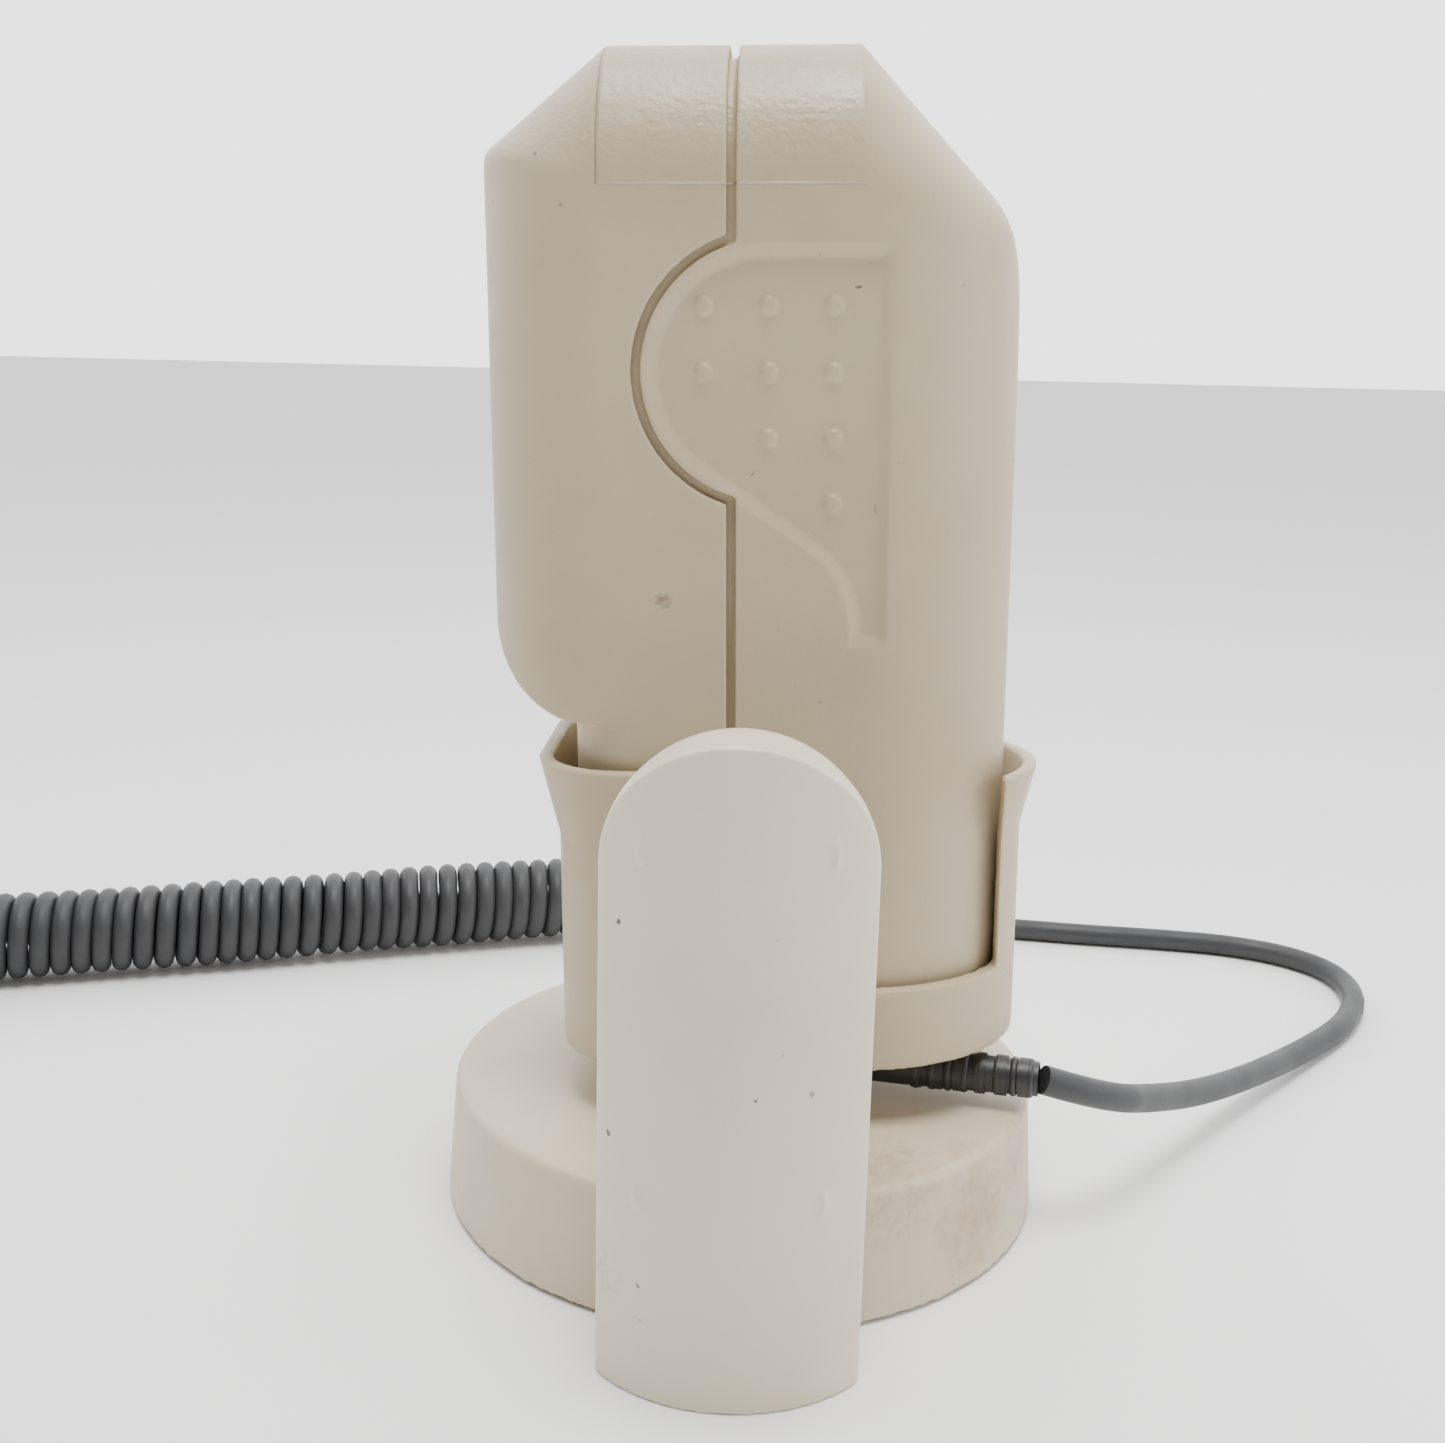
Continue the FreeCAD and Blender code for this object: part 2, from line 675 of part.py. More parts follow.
def grip_recess():
    """The sunken grip field on the front face: round against the lobe, sweeping down to its foot.

    Its sides slope in, so the rim is drawn on the front face and the prism narrows to the floor.
    """
    deep = size("casing_half")
    across, height = size("lobe_across"), size("lobe_height")
    radius = size("lobe_radius") - 1.7
    top, side, foot = height + radius, size("recess_side"), size("recess_foot")
    touch = math.radians(232)
    tangent = V(across + radius * math.cos(touch), -deep, height + radius * math.sin(touch))
    high, low, heel = V(across, -deep, top), V(12.0, -deep, 147.2), V(20.4, -deep, 131.0)
    edges = [
        Part.makeLine(V(side, -deep, foot), V(side, -deep, top)),
        Part.makeLine(V(side, -deep, top), high),
        Part.Arc(high, V(across - radius, -deep, height), tangent).toShape(),
        Part.makeLine(tangent, low),
        Part.Arc(low, V(18.1, -deep, 140.4), heel).toShape(),
        Part.makeLine(heel, V(20.4, -deep, foot)),
        Part.makeLine(V(20.4, -deep, foot), V(side, -deep, foot)),
    ]
    outline = drawn("recess_outline", Part.Face(Part.Wire(edges)))
    sunk = prism("recess", outline, V(0, size("recess_depth"), 0))
    sunk.TaperAngle = -math.degrees(math.atan(size("recess_slope") / size("recess_depth")))
    return sunk


def right_shell():
    """The motor side shell: parting lip, grip recess with its bumps, inlet and switch openings."""
    wall, gap = size("casing_wall"), size("parting_width") / 2
    hollow = cut("right_hollow", casing("right_outer", 0.0), casing("right_inner", wall))
    half = common("right_half", hollow, parting_region("right_region", 1, gap))
    lip_ring = cut("lip_ring", casing("lip_outer", wall), casing("lip_inner", wall + 1.2))
    lip_band = cut("lip_band", parting_region("lip_wide", 1, -4.0), parting_region("lip_near", 1, gap + 3.0))
    inlet = rod("inlet_hole", ("lobe_across", 18, "lobe_height"), "inlet_radius + 2.2", 20, ALONG_Y)
    switch_hole = box("switch_hole", (SWITCH_X - 4.0, 20, SWITCH_Z - 9.0), (8.0, 12, 18.0))
    button_hole = rod("button_hole", (BUTTON_X, 18, BUTTON_Z), 5.3, 20, ALONG_Y)
    lead_way = rod("lead_way", (GUARD_X, GUARD_Y, 40), "lead_radius + 0.4", 8)
    front_band = box("front_band", (-60, -40, 40), (120, 60, 230))
    lip = common("parting_lip", lip_ring, lip_band)
    # the recess is sunk into a thicker stretch of wall, so that the floor keeps its thickness
    right_side = parting_region("backing_region", 1, gap)
    zone = box("backing_zone", (-18, -40, 124), (48, 20, 86))
    pocket_wall = common("pocket_backing", casing("backing_outer", wall - 0.4), zone, right_side)
    backing = cut("pocket_back", pocket_wall, casing("backing_inner", wall + 1.4))
    solid = fuse("right_solid", half, common("front_backing", backing, front_band), lip)
    cleared = cut("right_cleared", solid, grip_recess(), inlet, switch_hole, button_hole, lead_way)
    floor = size("casing_half") - size("recess_depth")
    bumps = []
    for number, (column, row) in enumerate(BUMPS):
        x = f"lobe_across + {column} * bump_pitch"
        z = f"lobe_height + {row} * bump_pitch"
        place = (x, -floor - size("bump_height"), z)
        bumps.append(rod(f"bump_{number}", place, "bump_radius", 2.0, ALONG_Y))
    return node("right_shell", fuse("right_shell", cleared, *bumps), leans=True)


def outlet_grille():
    """Cross bars that follow the rounded side, in one frame snapped into the window."""
    skin = cut("grille_skin", casing("grille_outer", 0.5), casing("grille_inner", 2.6))
    panel = common("grille_panel", skin, outlet_window("grille_block", 0.15))
    slots = []
    count, pitch, slot_high = 11, 7.0, 4.8
    first = (size("outlet_low") + size("outlet_high")) / 2 - (count - 1) / 2 * pitch
    for number in range(count):
        z = first + number * pitch
        corner = (-60, "2 + outlet_back - outlet_half", z - slot_high / 2)
        slots.append(box(f"grille_slot_{number}", corner, (30, "2 * outlet_half - 4", slot_high)))
    bars = cut("grille_bars", panel, fuse("grille_slots", *slots))
    rib_skin = cut("grille_rib_skin", casing("rib_outer", 0.9), casing("rib_inner", 2.6))
    rib_corner = (-60, "outlet_back - 0.9", "outlet_low + 1")
    rib_sides = (30, 1.8, "outlet_high - outlet_low - 2")
    rib = common("grille_rib", rib_skin, box("rib_block", rib_corner, rib_sides))
    return node("outlet_grille", fuse("outlet_grille", bars, rib), leans=True)


def inlet_grille():
    """The round inlet cover on the back, a disc with level slots."""
    cover = body("inlet_grille")
    disc = sketch(cover, "inlet_disc", "XZ_Plane", -size("casing_half"))
    ring(disc, "inlet_radius + 2.0", size("lobe_across"), size("lobe_height"))
    pad(cover, "inlet_blank", disc, 2.4)
    doc.recompute()
    slots = sketch(cover, "inlet_slots", "XZ_Plane", -size("casing_half"))
    radius = size("inlet_radius") - 1.0
    for number in range(-4, 5):
        z = 4.0 * number
        reach = math.sqrt(radius**2 - (abs(z) + 1.1) ** 2)
        x = size("lobe_across")
        for left, right in ((-reach, -1.1), (1.1, reach)):
            low, high = size("lobe_height") + z - 1.1, size("lobe_height") + z + 1.1
            loop(slots, [(x + left, low), (x + right, low), (x + right, high), (x + left, high)])
    pocket(cover, "inlet_cut", slots, 3.0, reverse=True)
    return node("inlet_grille", cover, leans=True)


def lint_filter():
    disc = rod("filter_disc", ("lobe_across", 23.6, "lobe_height"), "inlet_radius + 1.5", 0.7, ALONG_Y)
    return node("lint_filter", disc, leans=True)


# ---------------------------------------------------------------- dryer inside


def fan_housing():
    """The scroll round the fan wheel, opening into the duct to the heater."""
    centre = ("lobe_across", -2.0, "lobe_height")
    drum = rod("scroll_drum", centre, "scroll_radius", 23.4, ALONG_Y)
    duct = box("scroll_duct", (-24, -2, "lobe_height - 31"), ("lobe_across + 24", 23.4, 62))
    inside = ("lobe_across", -0.6, "lobe_height")
    drum_in = rod("scroll_drum_in", inside, "scroll_radius - 1.4", 20.6, ALONG_Y)
    duct_in = box("scroll_duct_in", (-25, -0.6, "lobe_height - 29.6"), ("lobe_across + 25", 20.6, 59.2))
    inlet = rod("scroll_inlet", ("lobe_across", 15, "lobe_height"), "inlet_radius - 1", 12, ALONG_Y)
    motor_hole = rod("scroll_motor_hole", ("lobe_across", -6, "lobe_height"), 6.0, 8, ALONG_Y)
    outer, inner = fuse("scroll_outer", drum, duct), fuse("scroll_inner", drum_in, duct_in)
    return node("fan_housing", cut("fan_housing", outer, inner, inlet, motor_hole), leans=True)


def fan_wheel():
    """The centrifugal wheel: a back disc, a hub and a polar pattern of blades."""
    wheel = body("fan_wheel")
    across, height = size("lobe_across"), size("lobe_height")
    disc = sketch(wheel, "wheel_disc", "XY_Plane")
    ring(disc, "wheel_radius")
    ring(disc, 1.5)
    pad(wheel, "wheel_back", disc, 1.2)
    doc.recompute()
    hub = sketch(wheel, "wheel_hub", "XY_Plane", 1.2)
    ring(hub, 4.5)
    ring(hub, 1.5)
    pad(wheel, "wheel_boss", hub, 7.0)
    doc.recompute()
    radius = size("wheel_radius")
    blade = sketch(wheel, "wheel_blade", "XY_Plane", 1.2)
    loop(blade, [(radius - 6.0, -0.5), (radius - 0.4, 1.6), (radius - 0.4, 2.7), (radius - 6.0, 0.6)])
    leaf = pad(wheel, "wheel_leaf", blade, 15.0)
    doc.recompute()
    polar(wheel, "wheel_blades", leaf, "Z_Axis", 24)
    doc.recompute()
    wheel.Placement = Placement(V(across, 1.4, height), Rotation(V(1, 0, 0), -90))
    return node("fan_wheel", wheel, leans=True)


def motor_shaft():
    """The steel shaft with the collar that the wheel sits against."""
    shaft = rod("shaft_blank", ("lobe_across", -21.5, "lobe_height"), 1.45, 28.5, ALONG_Y)
    collar = rod("shaft_collar", ("lobe_across", -3.7, "lobe_height"), 2.6, 1.5, ALONG_Y)
    return node("motor_shaft", fuse("motor_shaft_whole", shaft, collar), leans=True)


def motor():
    can = rod("motor_can", ("lobe_across", -20.5, "lobe_height"), "motor_radius", 15.5, ALONG_Y)
    nose = rod("motor_nose", ("lobe_across", -5.2, "lobe_height"), 5.0, 1.1, ALONG_Y)
    bore = rod("motor_bore", ("lobe_across", -30, "lobe_height"), 3.5, 30, ALONG_Y)
    return node("motor", cut("motor", fuse("motor_whole", can, nose), bore), leans=True)


def motor_bearings():
    bushes = []
    for number, y in enumerate((-20.0, -9.0)):
        outer = rod(f"bearing_outer_{number}", ("lobe_across", y, "lobe_height"), 3.45, 4.5, ALONG_Y)
        bore = rod(f"bearing_bore_{number}", ("lobe_across", y - 1, "lobe_height"), 1.5, 7, ALONG_Y)
        bushes.append(cut(f"bearing_{number}", outer, bore))
    return node("motor_bearings", group("motor_bearings", *bushes), leans=True)


def motor_mount():
    """The rubber ring that holds the motor in the casing and keeps its hum out of the grip."""
    outer = rod("mount_outer", ("lobe_across", -16, "lobe_height"), "motor_radius + 4", 6, ALONG_Y)
    bore = rod("mount_bore", ("lobe_across", -20, "lobe_height"), "motor_radius + 0.05", 14, ALONG_Y)
    return node("motor_mount", cut("motor_mount", outer, bore), leans=True)


def heater_frame():
    """Three crossed mica boards that carry the heating wire behind the outlet."""
    low = "lobe_height - 32"
    upright_board = box("mica_upright", (-47.5, -0.5, low), (19, 1, 64))
    cross = [box(f"mica_cross_{i}", (-47.5, -13, z), (19, 26, 1)) for i, z in enumerate((157, 181, 205))]
    return node("heater_frame", fuse("heater_frame", upright_board, *cross), leans=True)


def heater_coils():
    """Four lengths of coiled heating wire, as their outer tubes, two on each side of the board."""
    coils = []
    for number, (x, y) in enumerate(((-42.5, -7.5), (-33.5, -7.5), (-42.5, 7.5), (-33.5, 7.5))):
        for part, z in enumerate((158.5, 182.5)):
            coils.append(rod(f"coil_{number}_{part}", (x, y, z), 2.6, 22))
    return node("heater_coils", group("heater_coils", *coils), leans=True)


def safety_parts():
    """The thermostat on the topmost mica board and the fuse beside the heater."""
    node("thermostat", rod("thermostat_can", (-38, -6.7, 206.1), 5.5, 4), leans=True)
    node("thermal_fuse", rod("fuse_body", (-43, 15.5, 170), 1.6, 12), leans=True)


def control_parts():
    """The circuit board, its capacitor and the switch blocks behind the two keys."""
    node("control_board", box("board", (-14, 13, 60), (44, 1.6, 44)), leans=True)
    node("capacitor", box("capacitor_block", (-11, 2.5, 66), (17, 10.3, 13)), leans=True)
    block = box("switch_block", (SWITCH_X - 7, 14, SWITCH_Z - 13), (14, 8.5, 26))
    slot = box("switch_slot", (SWITCH_X - 2.3, 19, SWITCH_Z - 9.5), (4.6, 6, 19))
    node("power_switch", cut("power_switch", block, slot), leans=True)
    key_block = box("key_block", (BUTTON_X - 6, 12, BUTTON_Z - 6), (12, 6.2, 11))
    node("cool_switch", key_block, leans=True)


def lead_parts():
    """The terminals, the saddle that holds the lead, and the lead's short end inside."""
    terminals = box("terminal_blank", (4, -8, 56), (24, 12, 9))
    wells = [rod(f"terminal_well_{i}", (x, -2, 60), 2.2, 8) for i, x in enumerate((10, 22))]
    node("terminal_block", cut("terminal_block", terminals, *wells), leans=True)
    saddle = box("clamp_blank", (GUARD_X - 9, GUARD_Y - 5, 46.5), (18, 10, 5))
    passage = rod("clamp_bore", (GUARD_X, GUARD_Y, 40), "lead_radius + 0.3", 20)
    node("cord_clamp", cut("cord_clamp", saddle, passage), leans=True)
    inner = rod("lead_stub", (GUARD_X, GUARD_Y, "casing_bottom"), "lead_radius", 12)
    node("cord_neck", inner, leans=True)


def shell_screws():
    screws = []
    places = [(y, z) for z in (131.0, 219.5) for y in (-9.0, 9.0)]
    for number, (y, z) in enumerate(places):
        head = rod(f"shell_head_{number}", (-44, y, z), 2.7, 2, ALONG_X)
        shank = rod(f"shell_shank_{number}", (-42.5, y, z), 1.3, 50, ALONG_X)
        screws.append(fuse(f"shell_screw_{number}", head, shank))
    return node("shell_screws", group("shell_screws", *screws), leans=True)


def switch_slider():
    """The slide button on the back: off, low and high."""
    slider = body("switch_slider")
    knob = sketch(slider, "slider_knob", "XZ_Plane", -29.3)
    low = SWITCH_Z - 8.0
    left, right = SWITCH_X - 3.6, SWITCH_X + 3.6
    loop(knob, [(left, low), (right, low), (right, low + 8), (left, low + 8)])
    pad(slider, "slider_cap", knob, 4.9)
    doc.recompute()
    stem = sketch(slider, "slider_stem", "XZ_Plane", -24.4)
    left, right = SWITCH_X - 2.0, SWITCH_X + 2.0
    loop(stem, [(left, low + 2), (right, low + 2), (right, low + 6), (left, low + 6)])
    pad(slider, "slider_tongue", stem, 4.6)
    return node("switch_slider", slider, leans=True)


def cool_button():
    """The round spring-back button under the switch, turned as one piece with its stem."""
    button = body("cool_button")
    profile = sketch(button, "button_profile", "XZ_Plane")
    loop(profile, [(0, 0), (2.2, 0), (2.2, 2.4), (5.0, 2.4), (5.0, 8.2), (4.2, 9.0), (0, 9.0)])
    revolve(button, "button_turned", profile)
    doc.recompute()
    button.Placement = Placement(V(BUTTON_X, 20.3, BUTTON_Z), Rotation(V(1, 0, 0), -90))
    return node("cool_button", button, leans=True)


# ---------------------------------------------------------------- lead


def lead_path(points, label):
    """Straight runs joined by tangent arcs, each arc as large as its two runs allow."""
    edges = []
    here = points[0]
    radii = []
    for before, point, after in zip(points, points[1:], points[2:]):
        back, ahead = before - point, after - point
        turn = math.pi - back.getAngle(ahead)
        reach = 0.45 * min(back.Length, ahead.Length)
        radii.append(reach / math.tan(turn / 2))
        back.normalize()
        ahead.normalize()
        enter, leave = point + back * reach, point + ahead * reach
        inward = (back + ahead).normalize()
        depth = radii[-1] / math.cos(turn / 2) - radii[-1]
        edges.append(Part.makeLine(here, enter))
        edges.append(Part.Arc(enter, point + inward * depth, leave).toShape())
        here = leave
    edges.append(Part.makeLine(here, points[-1]))
    print(label, "arc radii in mm:", [round(r) for r in radii])
    return Part.Wire(edges)


def tube(name, points, radius):
    path = lead_path(points, name)
    mouth = Part.Wire(Part.makeCircle(radius, points[0], points[1] - points[0]))
    solid = path.makePipeShell([mouth], True, False)
    expected = math.pi * radius**2 * path.Length
    print(name, f"length {path.Length:.1f} mm, volume / section * length = {solid.Volume / expected:.4f}")
    return drawn(name, solid)


LEAD = [
    (78.5, -16.5, 29.5),
    (93.3, 2.0, 21.0),
    (109.0, 22.0, 13.5),
    (127.5, 45.5, 7.4),
    (148.0, 69.7, 4.0),
    (166.0, 90.5, 3.25),
    (176.5, 112.0, 3.2),
    (176.0, 132.0, 3.2),
    (165.0, 145.5, 3.2),
    (148.0, 153.0, 3.2),
    (127.0, 156.0, 3.2),
    (106.0, 157.6, 3.2),
    (83.0, 160.8, 3.2),
    (58.0, 163.0, 3.2),
    (32.0, 163.4, 5.0),
    (8.0, 163.0, 9.5),
]
COIL_START = V(-16.0, 160.0, 13.0)
COIL = [
    (-57.0, 150.0, 12.9),
    (-97.0, 137.5, 12.9),
    (-137.0, 123.0, 12.9),
    (-177.0, 109.5, 12.9),
    (-217.0, 97.4, 12.9),
]
COIL_END = V(-247.0, 87.0, 12.9)
TAIL = [
    (-262.0, 80.0, 9.5),
    (-272.0, 66.0, 5.0),
    (-274.0, 48.0, 3.3),
    (-268.0, 30.0, 3.2),
    (-257.0, 12.0, 3.2),
    (-246.0, -6.0, 3.4),
    (-238.0, -22.0, 5.5),
]
PLUG_START = V(-233.5, -34.0, 9.5)
PLUG_ALONG = V(0.30, -0.95, 0.0).normalize()


def cords():
    points = [V(*p) for p in LEAD]
    tip = GUARD_TIP_LEANT + GUARD_ALONG_LEANT * 0.9
    node("cord_lead", tube("cord_lead", [tip, *points, COIL_START], size("lead_radius")))
    coil = [V(*p) for p in COIL]
    node("cord_coil", tube("cord_coil", [COIL_START, *coil, COIL_END], size("coil_radius")))
    tail = [V(*p) for p in TAIL]
    node("cord_tail", tube("cord_tail", [COIL_END, *tail, PLUG_START], size("lead_radius")))


def plug():
    """The mains plug with its own strain relief and two round pins."""
    start, along = PLUG_START, PLUG_ALONG
    guard = Part.makeCone(3.3, 5.4, 22, start, along)
    node("plug_guard", drawn("plug_guard", guard))
    grip = body("mains_plug")
    outline = sketch(grip, "plug_outline", "XY_Plane")
    loop(outline, [(-8, 0), (8, 0), (17, 12), (17, 31), (-17, 31), (-17, 12)])
    blank = pad(grip, "plug_blank", outline, 18.0)
    doc.recompute()
    round_edges(grip, "plug_edges", blank, 2.2, lambda e: True)
    doc.recompute()
    spin = Rotation(V(0, 0, 1), math.degrees(math.atan2(along.y, along.x)) - 90)
    base = start + along * 22.0
    grip.Placement = Placement(V(base.x, base.y, 0.5), spin)
    node("mains_plug", grip)
    pins = []
    across = V(-along.y, along.x, 0)
    for number, side in enumerate((-9.5, 9.5)):
        pin = Part.makeCylinder(2.4, 19, base + along * 31 + across * side, along)
        pins.append(drawn(f"pin_{number}", pin))
    node("plug_pins", group("plug_pins", *pins))


# ---------------------------------------------------------------- assembly

LEAN = Placement(
    V(), Rotation(V(0, 1, 0), -size("lean_degrees")), V(0, 0, size("pivot_height"))
)
GUARD_TIP_LEANT = LEAN.multVec(GUARD_TIP)
GUARD_ALONG_LEANT = LEAN.Rotation.multVec((GUARD_TIP - V(GUARD_X, GUARD_Y, GUARD_Z)).normalize())

for make in (
    base_shell,
    base_plate,
    ballast_weight,
    rubber_pad,
    base_screws,
    upright_cover,
    upright_frame,
    upright_screws,
    pivot_bush,
    pivot_pin,
    friction_washer,
    pivot_nut,
    holder_cup,
    cord_guard,
    left_shell,
    right_shell,
    outlet_grille,
    inlet_grille,
    lint_filter,
    fan_housing,
    fan_wheel,
    motor_shaft,
    motor,
    motor_bearings,
    motor_mount,
    heater_frame,
    heater_coils,
    safety_parts,
    control_parts,
    lead_parts,
    shell_screws,
    switch_slider,
    cool_button,
    cords,
    plug,
):
    make()
doc.recompute()

for item in NODES:
    if item.Label in LEANING:
        item.Placement = LEAN.multiply(item.Placement)
doc.recompute()

for item in doc.Objects:
    if "Invalid" in item.State or "Error" in item.State:
        raise RuntimeError(f"{item.Label}: {item.State}")

os.makedirs("parts", exist_ok=True)
for item in NODES:
    if item.Shape.isNull() or not item.Shape.isValid():
        raise RuntimeError(f"{item.Label} has no valid shape")
    item.Shape.exportStep(f"parts/{item.Label}.step")
    print(f"{item.Label}: {len(item.Shape.Solids)} solid(s), {item.Shape.Volume / 1000:.2f} cm3")
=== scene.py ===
import json
import math

import bmesh
import bpy
from mathutils import Matrix, Quaternion, Vector


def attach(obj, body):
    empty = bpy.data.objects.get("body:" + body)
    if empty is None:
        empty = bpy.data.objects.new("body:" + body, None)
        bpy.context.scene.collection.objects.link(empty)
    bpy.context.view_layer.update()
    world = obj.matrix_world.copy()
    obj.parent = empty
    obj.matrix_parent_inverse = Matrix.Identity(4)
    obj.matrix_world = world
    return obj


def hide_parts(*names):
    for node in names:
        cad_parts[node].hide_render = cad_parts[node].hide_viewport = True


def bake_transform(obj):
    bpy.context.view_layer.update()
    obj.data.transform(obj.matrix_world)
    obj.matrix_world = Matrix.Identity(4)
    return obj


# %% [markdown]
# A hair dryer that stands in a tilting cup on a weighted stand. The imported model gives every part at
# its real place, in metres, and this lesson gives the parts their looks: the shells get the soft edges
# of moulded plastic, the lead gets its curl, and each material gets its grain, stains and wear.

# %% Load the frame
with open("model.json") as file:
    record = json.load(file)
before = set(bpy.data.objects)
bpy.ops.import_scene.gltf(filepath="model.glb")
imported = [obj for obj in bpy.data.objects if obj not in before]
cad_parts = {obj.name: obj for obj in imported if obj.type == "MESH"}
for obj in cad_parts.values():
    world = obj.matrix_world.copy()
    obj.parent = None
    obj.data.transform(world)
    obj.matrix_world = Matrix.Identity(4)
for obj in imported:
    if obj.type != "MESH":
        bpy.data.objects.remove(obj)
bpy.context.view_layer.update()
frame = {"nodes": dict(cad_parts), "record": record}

MM = 0.001

# %% [markdown]
# The camera stands a little above the object and looks slightly down, close enough for the upright to
# bulge towards it. A long lens would flatten that, so the camera keeps its distance and its lens.

# %% Camera
CAMERA_AT = Vector((0.0063, -0.35825, 0.19114))
CAMERA_LOOK = Vector((-0.03396, 0.97262, -0.22992))
CAMERA_ROLL = math.radians(1.318)

camera_data = bpy.data.cameras.new("camera")
camera_data.sensor_width = 36.0
camera_data.lens = 42.353
camera_data.clip_start = 0.01
camera = bpy.data.objects.new("camera", camera_data)
bpy.context.scene.collection.objects.link(camera)
camera.rotation_mode = "QUATERNION"
camera.location = CAMERA_AT
camera.rotation_quaternion = CAMERA_LOOK.to_track_quat("-Z", "Y") @ Quaternion((0, 0, 1), CAMERA_ROLL)
bpy.context.scene.camera = camera
print("camera at", tuple(round(x, 3) for x in CAMERA_AT), "lens", camera_data.lens)

# %% [markdown]
# Cup and dryer lean a little to the left, because the friction of the pivot holds them wherever they
# are left. Straight faces are easier to work on upright, so one matrix carries points from the upright
# drawing into the leaning one, and its inverse brings a leaning part upright.

# %% The lean
PIVOT_HEIGHT = 77 * MM
LEAN_DEGREES = 1.3
LEAN = (
    Matrix.Translation((0, 0, PIVOT_HEIGHT))
    @ Matrix.Rotation(math.radians(-LEAN_DEGREES), 4, "Y")
    @ Matrix.Translation((0, 0, -PIVOT_HEIGHT))
)

# %% [markdown]
# The lead is a rubber-sheathed flex. It leaves the strain relief under the cup, drops to the table,
# bends round to the right and runs behind the base into a long curly stretch. The route is a short
# list of given points. A NURBS spline draws one smooth line through the bends, as a springy
# flex would lie.

# %% The lead's route
LEAD_RADIUS = 3.2 * MM
GUARD_CORNER = Vector((18.0, -8.5, 33.0)) * MM
GUARD_TIP = Vector((63.0, -19.0, 33.0)) * MM
GUARD_REACH = 0.9 * MM
GUARD_ALONG = (GUARD_TIP - GUARD_CORNER).normalized()
LEAD_EXIT = LEAN @ (GUARD_TIP + GUARD_ALONG * GUARD_REACH)

LEAD_POINTS = [
    (78.5, -16.5, 29.5),
    (93.3, 2.0, 21.0),
    (109.0, 22.0, 13.5),
    (127.5, 45.5, 7.4),
    (148.0, 69.7, 4.0),
    (166.0, 90.5, 3.25),
    (176.5, 112.0, 3.2),
    (176.0, 132.0, 3.2),
    (165.0, 145.5, 3.2),
    (148.0, 153.0, 3.2),
    (127.0, 156.0, 3.2),
    (106.0, 157.6, 3.2),
    (83.0, 160.8, 3.2),
    (58.0, 163.0, 3.2),
    (32.0, 163.4, 5.0),
    (8.0, 163.0, 9.5),
]
COIL_START = (-16.0, 160.0, 13.0)
COIL_POINTS = [
    (-57.0, 150.0, 12.9),
    (-97.0, 137.5, 12.9),
    (-137.0, 123.0, 12.9),
    (-177.0, 109.5, 12.9),
    (-217.0, 97.4, 12.9),
]
COIL_END = (-247.0, 87.0, 12.9)
TAIL_POINTS = [
    (-262.0, 80.0, 9.5),
    (-272.0, 66.0, 5.0),
    (-274.0, 48.0, 3.3),
    (-268.0, 30.0, 3.2),
    (-257.0, 12.0, 3.2),
    (-246.0, -6.0, 3.4),
    (-238.0, -22.0, 5.5),
]
PLUG_START = (-233.5, -34.0, 9.5)


def metres(points):
    """Places given in millimetres, as vectors in metres."""
    return [Vector(p) * MM for p in points]


def smooth_curve(name, points, resolution):
    """A curve object of one open NURBS spline with these control points."""
    data = bpy.data.curves.new(name, "CURVE")
    data.dimensions = "3D"
    spline = data.splines.new("NURBS")
    spline.points.add(len(points) - 1)
    for control, place in zip(spline.points, points):
        control.co = (*place, 1.0)
    spline.order_u = 3
    spline.use_endpoint_u = True
    spline.resolution_u = resolution
    return bpy.data.objects.new(name, data)


def line_of(curve):
    """The points that a curve without a bevel draws."""
    mesh = bpy.data.meshes.new_from_object(curve)
    return [v.co.copy() for v in mesh.vertices]


def length_of(line):
    """The summed length of a line's steps."""
    return sum((b - a).length for a, b in zip(line, line[1:]))


def tube_along(name, curve, radius, roundness=5):
    """A closed mesh tube round a curve."""
    curve.data.bevel_depth = radius
    curve.data.bevel_resolution = roundness
    curve.data.use_fill_caps = True
    mesh = bpy.data.meshes.new_from_object(curve)
    mesh.shade_smooth()
    piece = bpy.data.objects.new(name, mesh)
    bpy.context.scene.collection.objects.link(piece)
    return piece


lead_controls = [LEAD_EXIT, *metres(LEAD_POINTS), Vector(COIL_START) * MM]
lead_route = smooth_curve("lead_route", lead_controls, 12)
lead_line = line_of(lead_route)
lead_flex = tube_along("lead_flex", lead_route, LEAD_RADIUS)
print("lead:", round(length_of(lead_line), 3), "m,", len(lead_line), "points")

# %% [markdown]
# The curly stretch is a helix wound round its own smooth line. Each turn lies against the next, and
# a slow change of pitch and width keeps it from looking machined. The first and last turns wind out
# from the middle, where the straight flex meets the coil, and the tail runs on to the plug.

# %% The curly stretch
COIL_RADIUS = 12.8 * MM
STRAND_RADIUS = 2.85 * MM
TURN_PITCH = 5.75 * MM
STEPS_A_TURN = 14
WIND_OUT = 0.6


